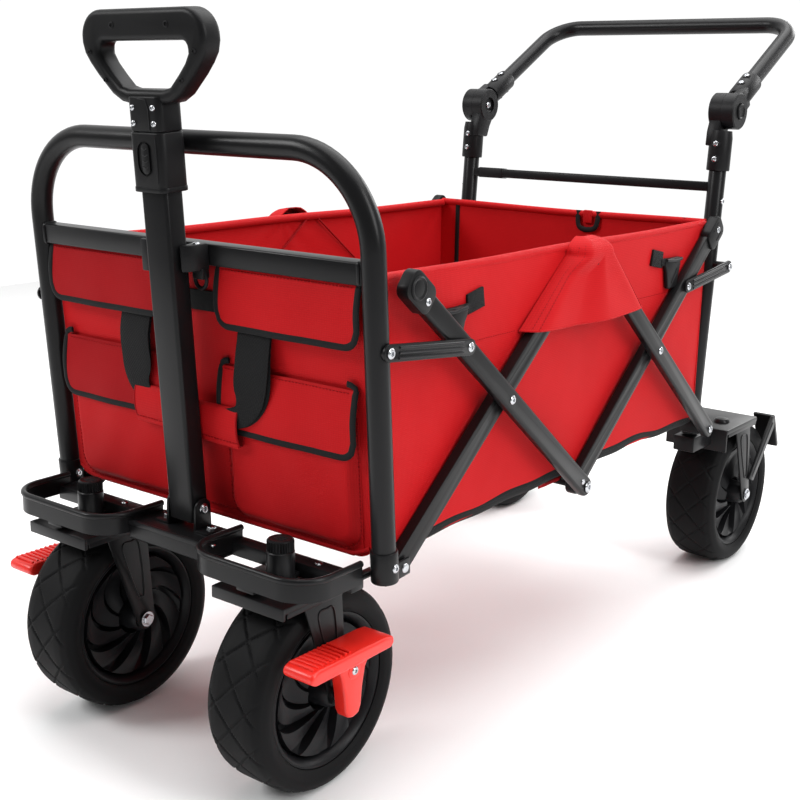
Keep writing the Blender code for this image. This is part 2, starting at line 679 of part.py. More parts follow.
def upper_socket(frame, tag, side):
    """The turning half of a push-bar joint, sleeved over the push bar's arm."""
    centre = side * REAR_HALF
    low, high = span(side, REAR_HALF + GAP / 2, REAR_HALF + DRUM_HALF)
    drum = rod(DRUM_R, (low, 0, 0), (high, 0, 0), 24)
    sleeve = rod(SOCKET_R, (centre, UPPER_SOCKET_START, 0), (centre, UPPER_SOCKET_END, 0))
    neck_low, neck_high = span(side, REAR_HALF + GAP / 2, REAR_HALF + SOCKET_R - 0.001)
    neck = box((neck_low, 0.0, -0.013), (neck_high, UPPER_SOCKET_START + 0.010, 0.013))
    body = join(drum, neck, sleeve)
    bore = rod(TUBE_R + GAP, (centre, ARM_START - GAP, 0), (centre, UPPER_SOCKET_END + 0.01, 0), TUBE_SIDES)
    face = side * (REAR_HALF + DRUM_HALF)
    pocket = rod(JOINT_BUTTON_R + GAP, (face + side * 0.005, 0, 0), (face - side * 0.008, 0, 0))
    finish(cut(body, bore, pocket), f"joint_disc_{tag}", frame, "black_plastic")


def joint_button(frame, tag, side):
    """The round button that unlocks a push-bar joint."""
    face = REAR_HALF + DRUM_HALF
    ends = [(side * x, 0, 0) for x in (face - 0.005, face + 0.003)]
    finish(rod(JOINT_BUTTON_R, *ends), f"joint_button_{tag}", frame, "black_plastic")


def push_bar(frame):
    """The U-shaped push bar, from one joint round to the other."""
    corner = arc((REAR_HALF - ARM_CORNER_R, ARM_REACH - ARM_CORNER_R), ARM_CORNER_R, 0, 90, 6)
    right = [(REAR_HALF, ARM_START), *corner]
    path = [(x, y, 0.0) for x, y in right] + [(-x, y, 0.0) for x, y in reversed(right)]
    finish(tube(path, TUBE_R), "push_bar", frame, "black_frame")


def rear_bracket(frame, tag, side):
    """The fixed fork of a rear wheel, with its axle, the upright's seat and the standing foot."""
    crown = box((-CROWN_HALF, -0.097, CROWN_BOTTOM), (CROWN_HALF, 0.020, CROWN_TOP))
    lip = box((-FORK_OUTSIDE, -0.0975, 0.203), (FORK_OUTSIDE, -0.093, CROWN_TOP - 0.001))
    seat_x = side * (REAR_HALF - REAR_WHEEL_X)
    seat_y = REAR_FOOT_Y - REAR_AXLE_Y
    seat = box((seat_x - 0.017, seat_y - 0.020, 0.212), (seat_x + 0.017, -0.0945, GUSSET_TOP))
    dome = rod(0.011, (0.020 * side, -0.050, CROWN_TOP - 0.001), (0.020 * side, -0.050, CROWN_TOP + 0.007))
    arms = [
        fork_arm(each, ((-0.005, CROWN_TOP - 0.002), (-0.060, CROWN_TOP - 0.002)), (0.0, AXLE_Z), 0.013, False)
        for each in SIDES.values()
    ]
    axle = axle_shaft(play=-0.001)
    axle.data.transform(Matrix.Translation((0, 0, AXLE_Z)))
    arm = [(0.000, 0.140), (0.018, 0.132), (0.088, 0.206), (0.112, 0.172), (0.1155, 0.176), (0.088, 0.226), (0.078, 0.228)]
    foot = [(0.086, 0.222), (0.1105, 0.171), (0.1145, 0.173), (0.090, 0.224)]
    strip = prism(arm, *span(side, FORK_OUTSIDE - 0.001, FORK_OUTSIDE + FORK_PLATE), "X")
    pad = prism(foot, *span(side, 0.018, FORK_OUTSIDE + FORK_PLATE - 0.001), "X")
    body = join(crown, lip, seat, dome, *arms, axle, strip, pad)
    finish(body, f"rear_bracket_{tag}", frame, "black_frame")


# ---- scissor frame ------------------------------------------------------------------------------
def bar(start, end, side, near, holes, studs=()):
    """A scissor bar along Y between two pivots, with holes at some pivots and studs at others."""
    low, high = span(side, near, near + BAR_THICK)
    body = prism(stadium(start, end, BAR_WIDTH), low, high, "X", [hole((at, 0), radius) for at, radius in holes])
    pins = []
    for at in studs:
        pins.append(rod(PIN_R, (side * (near + 0.002), at, 0), (side * (INNER_BAR_X + GAP), at, 0)))
    return join(body, *pins)


def end_fitting(at, inward, side, near):
    """The plastic sleeve over a bar's top end, open towards the basket."""
    ring = rounded_box(0.046, 0.033, 0.008)
    ring = [(at + inward * 0.007 + along, across) for along, across in ring]
    body = prism(ring, *span(side, near + GAP, near + BAR_THICK + 0.003), "X")
    strip = stadium(*sorted((at, at + inward * 0.10)), BAR_WIDTH + 2 * GAP)
    return cut(body, prism(strip, *span(side, near - 0.002, near + BAR_THICK + GAP), "X"))


def short_link(frame, name, side, near, length):
    """A short strip from a frame's stud towards a bar."""
    ring = stadium(0.0, length, LINK_WIDTH)
    strip = prism(ring, *span(side, near, near + LINK_THICK), "X", [hole((0, 0), PIN_HOLE_R)])
    finish(strip, name, frame, "black_frame")


# ---- basket and floor ---------------------------------------------------------------------------
def side_panel(frame, tag, side):
    """A side wall of the basket, between the front and rear walls."""

    def behind_hoop(offset, z):
        return (offset - (z - HOOP_FOOT_Z) * math.sin(FRONT_LEAN)) / math.cos(FRONT_LEAN), z

    under_bar = FRONT_BAR_Z - 0.012
    back = REAR_WALL_Y - GAP
    ring = [behind_hoop(CLOTH + GAP, BASKET_BOTTOM), (back, BASKET_BOTTOM), (back, BASKET_TOP)]
    ring += [behind_hoop(0.0095, BASKET_TOP), behind_hoop(0.0095, under_bar), behind_hoop(CLOTH + GAP, under_bar)]
    panel = prism(ring, *span(side, BASKET_HALF - CLOTH, BASKET_HALF), "X")
    finish(panel, f"side_panel_{tag}", frame, "red_cloth")


def floor_board(frame, name, low_y, high_y, low_z):
    """A flat section of the folding floor."""
    half = BASKET_HALF - CLOTH - GAP
    board = box((-half, low_y, low_z), (half, high_y, low_z + FLOOR_THICK))
    finish(board, name, frame, "red_cloth")


# ---- places that two assemblies share -----------------------------------------------------------
HANDLE_LINE_Y = in_front(HANDLE_PIVOT_Y, HANDLE_PIVOT_Z)[0]
HOUSING_TOP = LOOP_TOP + 0.001
GUSSET_TOP = 0.2357
LINK_OUTER_X = max(OUTER_BAR_X + BAR_THICK, HOOP_HALF + TUBE_R) + 0.0007
LINK_INNER_X = INNER_BAR_X + BAR_THICK + 0.0010
INNER_WIDTH = HANDLE_WIDTH - 2 * HANDLE_WALL - 0.0012
INNER_DEPTH = HANDLE_DEPTH - 2 * HANDLE_WALL - 0.0012
GRIP_BASE = COLLAR_START + COLLAR_HEIGHT + GAP
INNER_TOP = GRIP_BASE + 0.018
ARM_START = UPPER_SOCKET_START + 0.008
AXLE_HEAD = 0.004
PEDAL_Y = 0.032
PEDAL_Z = 0.150

clear_scene()
wagon_parts = bpy.data.collections.new("wagon_with_pull_handle")
bpy.context.scene.collection.children.link(wagon_parts)
materials = {name: make_material(name) for name in FINISHES}


def build_front(wagon):
    """Everything that stands on the front frame."""
    frame = assembly("front_frame", (0, 0, HOOP_FOOT_Z), wagon, FRONT_LEAN)
    front_hoop(frame)
    handle_clip(frame)
    front_panel(frame)
    front_subframe(assembly("front_base", (0, 0, 0), wagon))
    place = (0, HANDLE_PIVOT_Y, HANDLE_PIVOT_Z)
    handle = assembly("pull_handle", place, wagon, FRONT_LEAN)
    for make in (handle_pivot_pin, handle_tube, handle_collar, release_button, inner_tube, handle_grip):
        make(handle)
    for tag, side in SIDES.items():
        swivel = assembly(f"caster_swivel_{tag}", (side * CASTER_X, CASTER_Y, 0), wagon)
        caster_fork(swivel, tag)
        caster_cap(swivel, tag)
        axle = assembly(f"front_axle_line_{tag}", (0, CASTER_TRAIL, AXLE_Z), swivel)
        finish(axle_shaft(), f"front_axle_{tag}", axle, "steel")
        wheel(axle, f"front_{tag}")
        pedal = assembly(f"pedal_line_{tag}", (0, PEDAL_Y, PEDAL_Z), swivel)
        brake_pedal(pedal, tag, side)


def build_rear(wagon):
    """Everything that stands on the rear frame."""
    frame = assembly("rear_uprights", (0, REAR_FOOT_Y, REAR_FOOT_Z), wagon, REAR_LEAN)
    rear_frame(frame)
    push = assembly("push_line", (0, DRUM_Y, DRUM_Z), wagon, ARM_RISE)
    push_bar(push)
    for tag, side in SIDES.items():
        lower_socket(frame, tag, side)
        upper_socket(push, tag, side)
        joint_button(push, tag, side)
        rear_bracket(assembly(f"rear_wheel_base_{tag}", (side * REAR_WHEEL_X, REAR_AXLE_Y, 0), wagon), tag, side)
        axle = assembly(f"rear_axle_line_{tag}", (side * REAR_WHEEL_X, REAR_AXLE_Y, AXLE_Z), wagon)
        wheel(axle, f"rear_{tag}")
    panel = box((-BASKET_HALF, REAR_WALL_Y, BASKET_BOTTOM), (BASKET_HALF, REAR_WALL_Y + CLOTH, BASKET_TOP))
    finish(panel, "rear_panel", wagon, "red_cloth")


def build_scissors(wagon):
    """The four crossed bars of each side, with their end fittings and short links."""
    half = BAR_LENGTH / 2
    cross_z = (PIVOT_LOW_Z + PIVOT_HIGH_Z) / 2
    front_cross, rear_cross = PIVOT_FRONT_Y + CELL_SPAN / 2, PIVOT_MID_Y + CELL_SPAN / 2
    pin, rod_hole = PIN_HOLE_R, AXLE_HOLE_R
    rear_outer = assembly("rear_outer_line", (0, PIVOT_REAR_Y, PIVOT_LOW_Z), wagon, math.pi - BAR_TILT)
    front_inner = assembly("front_inner_line", (0, PIVOT_MID_Y, PIVOT_HIGH_Z), wagon, math.pi + BAR_TILT)
    rear_inner = assembly("rear_inner_line", (0, rear_cross, cross_z), wagon, BAR_TILT)
    front_outer = assembly("front_outer_line", (0, front_cross, cross_z), wagon, -BAR_TILT)
    front_link_y = -math.tan(FRONT_LEAN) * (LINK_PIVOT_Z - HOOP_FOOT_Z)
    rear_link_y = REAR_FOOT_Y + math.tan(-REAR_LEAN) * (LINK_PIVOT_Z - REAR_FOOT_Z)
    drop = LINK_DROP / BAR_LENGTH
    seat_z = PIVOT_HIGH_Z - CELL_RISE * drop
    front_run = (PIVOT_FRONT_Y + CELL_SPAN * drop - front_link_y, seat_z - LINK_PIVOT_Z)
    rear_run = (PIVOT_REAR_Y - CELL_SPAN * drop - rear_link_y, seat_z - LINK_PIVOT_Z)
    front_link = assembly("front_link_line", (0, front_link_y, LINK_PIVOT_Z), wagon, math.atan2(*front_run[::-1]))
    rear_link = assembly("rear_link_line", (0, rear_link_y, LINK_PIVOT_Z), wagon, math.atan2(*rear_run[::-1]))
    for tag, side in SIDES.items():
        outer = bar(0, BAR_LENGTH, side, OUTER_BAR_X, [(0, pin)], [half, BAR_LENGTH])
        finish(outer, f"rear_outer_bar_{tag}", rear_outer, "black_frame")
        inner = bar(0, BAR_LENGTH, side, INNER_BAR_X, [(0, pin), (half, pin), (BAR_LENGTH, pin)])
        finish(inner, f"front_inner_bar_{tag}", front_inner, "black_frame")
        inner = bar(-half, half, side, INNER_BAR_X, [(0, pin), (-half, rod_hole)])
        finish(inner, f"rear_inner_bar_{tag}", rear_inner, "black_frame")
        outer = bar(-half, half, side, OUTER_BAR_X, [(half, rod_hole)], [0])
        finish(outer, f"front_outer_bar_{tag}", front_outer, "black_frame")
        fitting = end_fitting(-half, 1, side, OUTER_BAR_X)
        finish(fitting, f"front_elbow_{tag}", front_outer, "black_plastic")
        fitting = end_fitting(half, -1, side, INNER_BAR_X)
        finish(fitting, f"rear_collar_{tag}", rear_inner, "black_plastic")
        short_link(front_link, f"front_link_{tag}", side, LINK_OUTER_X, math.hypot(*front_run))
        short_link(rear_link, f"rear_link_{tag}", side, LINK_INNER_X, math.hypot(*rear_run))
    reach = OUTER_BAR_X + BAR_THICK + 0.0015
    cross = rod(AXLE_R, (-reach, PIVOT_MID_Y, PIVOT_LOW_Z), (reach, PIVOT_MID_Y, PIVOT_LOW_Z))
    finish(cross, "cross_rod", wagon, "black_frame")


def build_basket(wagon):
    """The cloth side walls and the three-part floor."""
    for tag, side in SIDES.items():
        side_panel(wagon, tag, side)
    level = -FLOOR_THICK / 2
    front = assembly("front_floor_line", (0, FLOOR_FRONT_Y, FLOOR_Z), wagon)
    floor_board(front, "floor_front", 0.0, FLOOR_BOARD, level)
    rear = assembly("rear_floor_line", (0, FLOOR_REAR_Y, FLOOR_Z), wagon)
    floor_board(rear, "floor_rear", -FLOOR_BOARD, 0.0, level)
    strip_low = FLOOR_FRONT_Y + FLOOR_BOARD + FLOOR_STRIP_GAP
    strip_high = FLOOR_REAR_Y - FLOOR_BOARD - FLOOR_STRIP_GAP
    floor_board(wagon, "floor_middle", strip_low, strip_high, PIVOT_LOW_Z + AXLE_R + GAP)


wagon_root = assembly("wagon", (0, -CENTRE_Y, 0), None)
build_front(wagon_root)
build_rear(wagon_root)
build_scissors(wagon_root)
build_basket(wagon_root)
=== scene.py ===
import logging
import math
import random
from collections.abc import Callable, Iterable, Sequence
from dataclasses import dataclass
from enum import Enum

import bmesh
import bpy
from mathutils import Matrix, Vector


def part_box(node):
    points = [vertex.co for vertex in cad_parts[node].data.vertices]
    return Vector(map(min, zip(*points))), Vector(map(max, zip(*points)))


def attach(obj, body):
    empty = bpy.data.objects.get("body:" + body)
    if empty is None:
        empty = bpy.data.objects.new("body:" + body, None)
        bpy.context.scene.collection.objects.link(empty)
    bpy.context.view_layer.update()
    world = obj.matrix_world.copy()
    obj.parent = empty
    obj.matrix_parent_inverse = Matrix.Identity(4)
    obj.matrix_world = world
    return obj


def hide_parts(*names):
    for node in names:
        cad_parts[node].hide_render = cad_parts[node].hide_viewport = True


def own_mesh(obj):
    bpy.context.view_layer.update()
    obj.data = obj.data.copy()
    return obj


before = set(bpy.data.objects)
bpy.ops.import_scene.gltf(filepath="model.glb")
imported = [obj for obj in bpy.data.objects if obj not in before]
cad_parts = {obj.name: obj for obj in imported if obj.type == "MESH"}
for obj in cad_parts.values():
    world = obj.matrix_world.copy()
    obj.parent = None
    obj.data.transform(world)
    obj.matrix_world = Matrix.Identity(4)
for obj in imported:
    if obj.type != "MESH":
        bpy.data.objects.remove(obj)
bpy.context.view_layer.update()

log = logging.getLogger("wagon")

Pair = tuple[float, float]
Triple = tuple[float, float, float]
Piece = bpy.types.Object

# The wagon's own zero along Y is the front hoop's foot line.
ZERO_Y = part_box("floor_front")[0].y - 0.012
FRONT_LEAN = math.radians(4.2)
REAR_LEAN = math.radians(-4.46)
ARM_RISE = math.radians(29.0)
WHEEL_R = 0.114
AXLE_Z = WHEEL_R * math.cos(math.pi / 32)
BASKET_HALF = 0.2352
BASKET_BOTTOM = 0.267
BASKET_TOP = 0.563
REAR_WALL_Y = 0.752
TUBE_R = 0.0125
SIDES = {"L": -1, "R": 1}
PIN_R = 0.004
PIN_HOLE_R = 0.0043
LINK_Z = 0.492
CASTER_X = 0.152
REAR_FOOT_Y = 0.786
REAR_WHEEL_X, REAR_AXLE_Y = 0.21, 0.925
CROWN_LOW, CROWN_TOP = 0.2312, 0.2385
SMALL_MERGE = 1e-7


class Body(str, Enum):
    """The moving parts of the frame that the pieces ride on."""

    REAR = "rear_body"
    FRONT = "front_body"
    REAR_OUTER = "rear_outer_bars"
    REAR_INNER = "rear_inner_bars"
    FRONT_OUTER = "front_outer_bars"
    FRONT_INNER = "front_inner_bars"
    FRONT_LINKS = "front_links"
    REAR_LINKS = "rear_links"
    FLOOR_FRONT = "floor_front_body"
    FLOOR_REAR = "floor_rear_body"
    HANDLE = "pull_handle_body"
    RELEASE = "release_button_body"
    SLIDER = "sliding_handle"
    PUSH = "push_handle_body"


class Axis(Enum):
    """The direction that a plate gets its thickness in."""

    X = Matrix(((0, 0, 1, 0), (1, 0, 0, 0), (0, 1, 0, 0), (0, 0, 0, 1)))
    Y = Matrix(((1, 0, 0, 0), (0, 0, -1, 0), (0, 1, 0, 0), (0, 0, 0, 1)))
    Z = Matrix.Identity(4)


def lean(location: Triple, turn: float = 0.0) -> Matrix:
    """A place in the wagon, turned about X.

    Args:
        location: the place's origin in the wagon's own coordinates.
        turn: the lean about X in radians.

    Returns:
        The matrix from the place to the frame.
    """
    x, y, z = location
    return Matrix.Translation((x, y + ZERO_Y, z)) @ Matrix.Rotation(turn, 4, "X")


WAGON = lean((0, 0, 0))
FRONT = lean((0, 0, 0.2525), FRONT_LEAN)
HANDLE = lean((0, -0.036, 0.287), FRONT_LEAN)
REAR = lean((0, REAR_FOOT_Y, 0.26), REAR_LEAN)
PUSH = lean((0, 0.8345, 0.7133), ARM_RISE)


# ---- finishes ----
def linear(colour: str) -> tuple[float, float, float, float]:
    """An sRGB hex colour as linear RGBA.

    Args:
        colour: six hex digits.

    Returns:
        The linear colour with full alpha.
    """
    parts = [int(colour[i : i + 2], 16) / 255 for i in (0, 2, 4)]
    r, g, b = (c / 12.92 if c <= 0.04045 else ((c + 0.055) / 1.055) ** 2.4 for c in parts)
    return r, g, b, 1.0


def add_node(tree: bpy.types.NodeTree, kind: str, settings: dict, links: dict) -> bpy.types.Node:
    """Adds a node with its settings and links.

    Args:
        tree: the material's node tree.
        kind: the node's type.
        settings: attributes of the node, and values of inputs by name.
        links: an input's name or number to the output socket that feeds it.

    Returns:
        The new node.
    """
    node = tree.nodes.new(kind)
    for name, value in settings.items():
        if hasattr(node, name):
            setattr(node, name, value)
        else:
            node.inputs[name].default_value = value
    for name, socket in links.items():
        tree.links.new(socket, node.inputs[name])
    return node


def noise_scale(size_mm: float) -> float:
    """The Noise Texture scale whose blobs are about this many millimetres across."""
    return 1000.0 / size_mm


def band_scale(spacing_mm: float) -> float:
    """The Wave Texture scale whose bands repeat every so many millimetres."""
    return 1000.0 * math.pi / 10.0 / spacing_mm


@dataclass(frozen=True)
class Finish:
    """A real surface: its colours, how it answers light, and the size of its grain."""

    name: str
    colour: str
    shade: str
    roughness: float
    grain_mm: float
    grain_depth_mm: float
    cloud_mm: float = 60.0
    metallic: float = 0.0
    ior: float = 1.5
    coat: float = 0.0
    sheen: float = 0.0
    gloss: float = 0.15
    edge: str = ""

    def ground(self, material: bpy.types.Material) -> tuple:
        """The colour, roughness and height that every finish starts from."""
        tree = material.node_tree
        where = add_node(tree, "ShaderNodeTexCoord", {}, {}).outputs["Object"]
        cloud = add_node(tree, "ShaderNodeTexNoise", {"Scale": noise_scale(self.cloud_mm), "Detail": 4.0},
            {"Vector": where})
        mix = add_node(tree, "ShaderNodeMix", {"data_type": "RGBA"}, {"Factor": cloud.outputs["Fac"]})
        mix.inputs[6].default_value, mix.inputs[7].default_value = linear(self.colour), linear(self.shade)
        colour = mix.outputs[2]
        if self.edge:
            worn = add_node(tree, "ShaderNodeNewGeometry", {}, {}).outputs["Pointiness"]
            ramp = add_node(tree, "ShaderNodeMapRange", {"From Min": 0.53, "From Max": 0.62, "To Max": 0.45},
                {"Value": worn})
            rub = add_node(tree, "ShaderNodeMix", {"data_type": "RGBA"}, {"Factor": ramp.outputs["Result"], 6: colour})
            rub.inputs[7].default_value = linear(self.edge)
            colour = rub.outputs[2]
        rough = add_node(
            tree, "ShaderNodeMapRange",
            {"To Min": self.roughness - 0.05, "To Max": self.roughness + 0.07},
            {"Value": cloud.outputs["Fac"]},
        )
        grain = add_node(tree, "ShaderNodeTexNoise", {"Scale": noise_scale(self.grain_mm), "Detail": 2.0},
            {"Vector": where})
        return colour, rough.outputs["Result"], grain.outputs["Fac"]

    def build(self) -> bpy.types.Material:
        """The finished material."""
        material = bpy.data.materials.new(self.name)
        material.use_nodes = True
        tree = material.node_tree
        shader = tree.nodes["Principled BSDF"]
        colour, rough, height = self.ground(material)
        bump = add_node(tree, "ShaderNodeBump", {"Strength": 1.0, "Distance": self.grain_depth_mm / 1000},
            {"Height": height})
        tree.links.new(colour, shader.inputs["Base Color"])
        tree.links.new(rough, shader.inputs["Roughness"])
        tree.links.new(bump.outputs["Normal"], shader.inputs["Normal"])
        values = {
            "Metallic": self.metallic, "Specular IOR Level": 0.5 if self.metallic else self.gloss,
            "Coat Weight": self.coat, "Coat Roughness": 0.2, "Sheen Weight": self.sheen, "Sheen Roughness": 0.4,
        }
        if not self.metallic:
            values["IOR"] = self.ior
        for name, value in values.items():
            shader.inputs[name].default_value = value
        material.diffuse_color = linear(self.colour)
        return material


@dataclass(frozen=True)
class Cloth(Finish):
    """A woven finish: threads both ways, on the piece's own UV map, which is in metres."""

    thread_mm: float = 2.4
    diagonal: bool = False

    def ground(self, material: bpy.types.Material) -> tuple:
        """Adds the weave's height, and painted shade in the gaps between its threads, to the plain ground."""
        colour, rough, grain = super().ground(material)
        tree = material.node_tree
        where = add_node(tree, "ShaderNodeUVMap", {}, {}).outputs["UV"]
        if self.diagonal:
            where = add_node(tree, "ShaderNodeMapping", {"Rotation": (0, 0, math.radians(45))},
                {"Vector": where}).outputs["Vector"]
        warp, weft = (
            add_node(
                tree, "ShaderNodeTexWave",
                {"bands_direction": direction, "Scale": band_scale(self.thread_mm), "Distortion": 0.6,
                "Detail Scale": 0.6},
                {"Vector": where},
            ).outputs["Fac"]
            for direction in ("X", "Y")
        )
        weave = add_node(tree, "ShaderNodeMath", {"operation": "MULTIPLY"}, {0: warp, 1: weft})
        height = add_node(tree, "ShaderNodeMath", {"operation": "MULTIPLY_ADD"}, {0: grain, 2: weave.outputs[0]})
        height.inputs[1].default_value = 0.5
        # Painted shade: the colour is darkened where the weave is low, in the gaps between threads.
        gap_shaded = add_node(tree, "ShaderNodeMix", {"data_type": "RGBA", "blend_type": "MULTIPLY"}, {6: colour})
        gap_shade_mask = add_node(tree, "ShaderNodeMapRange", {"To Min": 0.84, "To Max": 1.0}, {"Value": weave.outputs[0]})
        gap_shaded.inputs[0].default_value = 1.0
        tree.links.new(gap_shade_mask.outputs["Result"], gap_shaded.inputs[7])
        return gap_shaded.outputs[2], rough, height.outputs[0]


@dataclass(frozen=True)
class Finishes:
    """Every finish of the wagon, each made once."""

    # Powder-coated steel tube: satin black with a faint orange-peel skin, rubbed greyer on its edges.
    powder_coat: Finish = Finish("powder_coated_steel", "0F0F10", "151516", 0.3, 1.4, 0.04, edge="262628", gloss=0.18)
    # Glass-filled nylon, moulded: deeper black, with the fine sparkle of an eroded mould.
    nylon: Finish = Finish("moulded_nylon", "0E0E0F", "141415", 0.4, 1.2, 0.05, edge="262628")
    # Foamed rubber tread: dull, dusty black.
    tyre: Finish = Finish("foamed_rubber", "0B0B0C", "111112", 0.6, 2.2, 0.1, cloud_mm=25, gloss=0.12)
    # Polypropylene wheel centre: smooth, a little glossier than the tyre.
    rim: Finish = Finish("moulded_polypropylene", "111113", "19191B", 0.36, 1.8, 0.04)
    # Dyed ABS pedals: bright and half glossy.
    pedal: Finish = Finish("dyed_abs", "EC2A1E", "E0221A", 0.34, 1.6, 0.04, coat=0.15, gloss=0.4)
    # Coated polyester canvas: a plain weave that shows as a fine even tooth.
    canvas: Cloth = Cloth("coated_polyester_canvas", "C60D14", "B80A11", 0.66, 3.0, 0.12, sheen=0.03, gloss=0.14,
        thread_mm=2.2)
    # The same canvas painted darker: painted shade for faces turned into the basket, its floor, the flaps' backs and
    # the grip's inside.
    painted_shade_canvas: Cloth = Cloth("canvas_painted_shade", "A80C13", "980810", 0.72, 3.0, 0.12, sheen=0.03, gloss=0.12, thread_mm=2.2)
    # Polyester webbing and edge tape: ribbed, matt black.
    webbing: Cloth = Cloth("polyester_webbing", "101011", "19191A", 0.8, 2.0, 0.28, sheen=0.04, gloss=0.2,
        thread_mm=2.8, diagonal=True)
    tape: Cloth = Cloth("binding_tape", "0F0F10", "171718", 0.74, 2.0, 0.12, sheen=0.03, gloss=0.2, thread_mm=2.4)
    # Red sewing thread, a shade darker than the cloth.
    thread: Finish = Finish("sewing_thread", "A00D13", "8E0A10", 0.7, 1.2, 0.03)
    # Zinc-plated steel rivets and bolts.
    zinc: Finish = Finish("zinc_plated_steel", "C9CBCE", "A9ABAF", 0.24, 1.4, 0.02, metallic=1.0)


FINISHES = Finishes()
_made: dict[str, bpy.types.Material] = {}


def material_for(finish: Finish) -> bpy.types.Material:
    """The material of a finish, built the first time it is asked for."""
    if finish.name not in _made:
        _made[finish.name] = finish.build()
    return _made[finish.name]


# ---- workshop steps ----
def take(obj: Piece | None = None) -> None:
    """Selects only this object, or nothing."""
    for other in list(bpy.context.selected_objects):
        other.select_set(False)
    if obj is not None:
        obj.select_set(True)
    bpy.context.view_layer.objects.active = obj


def apply_modifiers(obj: Piece) -> Piece:
    """Applies every modifier of an object, in order."""
    take(obj)
    for modifier in list(obj.modifiers):
        bpy.ops.object.modifier_apply(modifier=modifier.name)
    return obj


def face_out(obj: Piece, merge: float = 1e-6) -> Piece:
    """Merges doubled points and turns every face outwards.

    Args:
        obj: the piece.
        merge: points nearer than this become one.

    Returns:
        The same piece.
    """
    take(obj)
    bpy.ops.object.mode_set(mode="EDIT")
    bpy.ops.mesh.select_all(action="SELECT")
    bpy.ops.mesh.remove_doubles(threshold=merge)
    bpy.ops.mesh.normals_make_consistent(inside=False)
    bpy.ops.object.mode_set(mode="OBJECT")
    return obj


def round_edges(obj: Piece, radius: float, segments: int = 2, angle: float = 38.0) -> Piece:
    """Rounds every edge that is sharper than an angle.

    Args:
        obj: the piece.
        radius, segments: the rounding's size and fineness.
        angle: edges sharper than this many degrees are rounded.

    Returns:
        The same piece.
    """
    if radius > 0:
        bevel = obj.modifiers.new("Round", "BEVEL")
        bevel.width, bevel.segments = radius, segments
        bevel.limit_method, bevel.angle_limit = "ANGLE", math.radians(angle)
        apply_modifiers(obj)
    return obj


def paint(obj: Piece, finish: Finish) -> Piece:
    """Gives the whole mesh one finish."""
    obj.data.materials.clear()
    obj.data.materials.append(material_for(finish))
    return obj


def block(low: Triple, high: Triple, round_over: float, finish: Finish, segments: int = 2) -> Piece:
    """A block with rounded edges between two corners.

    Args:
        low, high: two opposite corners.
        round_over: the radius of its edges.
        finish: the finish it gets.
        segments: how finely the edges are rounded.

    Returns:
        The block.
    """
    take()
    low_corner, high_corner = Vector(map(min, low, high)), Vector(map(max, low, high))
    bpy.ops.mesh.primitive_cube_add(size=1.0)
    obj = bpy.context.object
    bpy.ops.object.mode_set(mode="EDIT")
    bpy.ops.transform.resize(value=high_corner - low_corner)
    bpy.ops.transform.translate(value=(low_corner + high_corner) / 2)
    bpy.ops.object.mode_set(mode="OBJECT")
    return paint(round_edges(obj, round_over, segments), finish)


def dowel(radius: float, start: Triple, end: Triple, finish: Finish, round_over: float = 0.0, sides: int = 32) -> Piece:
    """A round bar between two points, with softened ends.

    Args:
        radius: its radius.
        start, end: the middles of its ends.
        finish: the finish it gets.
        round_over: the radius of its rims.
        sides: how many sides it has.

    Returns:
        The bar.
    """
    take()
    a, b = Vector(start), Vector(end)
    run = b - a
    bpy.ops.mesh.primitive_cylinder_add(vertices=sides, radius=radius, depth=run.length)
    obj = bpy.context.object
    turn = run.to_track_quat("Z", "Y").to_matrix().to_4x4()
    obj.data.transform(Matrix.Translation((a + b) / 2) @ turn)
    return paint(round_edges(obj, round_over), finish)


def crosswise(radius: float, side: int, near: float, far: float, at: Pair, finish: Finish,
        round_over: float = 0.0) -> Piece:
    """A round bar that runs outwards across the wagon.

    Args:
        radius: its radius.
        side: 1 for the right, -1 for the left.
        near, far: where it starts and ends, from the wagon's middle.
        at: its place along and up.
        finish: the finish it gets.
        round_over: the radius of its rims.

    Returns:
        The bar.
    """
    return dowel(radius, (side * near, *at), (side * far, *at), finish, round_over)


def plate(
    outline: Sequence[Pair], low: float, high: float, axis: Axis, finish: Finish,
    round_over: float = 0.0, holes: Iterable[Sequence[Pair]] = (), segments: int = 2,
) -> Piece:
    """An outline filled and extruded, with holes sawn out and its rims rounded.

    Args:
        outline: corners in the two axes other than the thickness, in order.
        low, high: where the thickness starts and ends.
        axis: the direction of the thickness.
        finish: the finish it gets.
        round_over: the radius of its rims.
        holes: outlines to cut through it.
        segments: how finely the rims are rounded.

    Returns:
        The plate.
    """
    def slab(ring: Sequence[Pair], bottom: float, top: float) -> Piece:
        take()
        bpy.ops.mesh.primitive_circle_add(vertices=len(ring), radius=1.0, fill_type="NGON")
        made = bpy.context.object
        for vertex, (a, b) in zip(made.data.vertices, ring):
            vertex.co = (a, b, bottom)
        bpy.ops.object.mode_set(mode="EDIT")
        bpy.ops.mesh.select_all(action="SELECT")
        bpy.ops.mesh.extrude_region_move(TRANSFORM_OT_translate={"value": (0, 0, top - bottom)})
        bpy.ops.mesh.select_all(action="SELECT")
        bpy.ops.mesh.normals_make_consistent(inside=False)
        bpy.ops.object.mode_set(mode="OBJECT")
        return made

    low, high = min(low, high), max(low, high)
    if axis is Axis.Y:
        low, high = -high, -low
    obj = slab(outline, low, high)
    for ring in holes:
        saw_out(obj, slab(ring, low - 0.01, high + 0.01))
    round_edges(obj, round_over, segments)
    obj.data.transform(axis.value)
    return paint(face_out(obj), finish)


def saw_out(obj: Piece, cutter: Piece) -> Piece:
    """Removes a cutter's volume from an object, and the cutter itself."""
    modifier = obj.modifiers.new("Saw", "BOOLEAN")
    modifier.operation, modifier.object, modifier.solver = "DIFFERENCE", cutter, "EXACT"
    apply_modifiers(obj)
    bpy.data.objects.remove(cutter, do_unlink=True)
    return obj


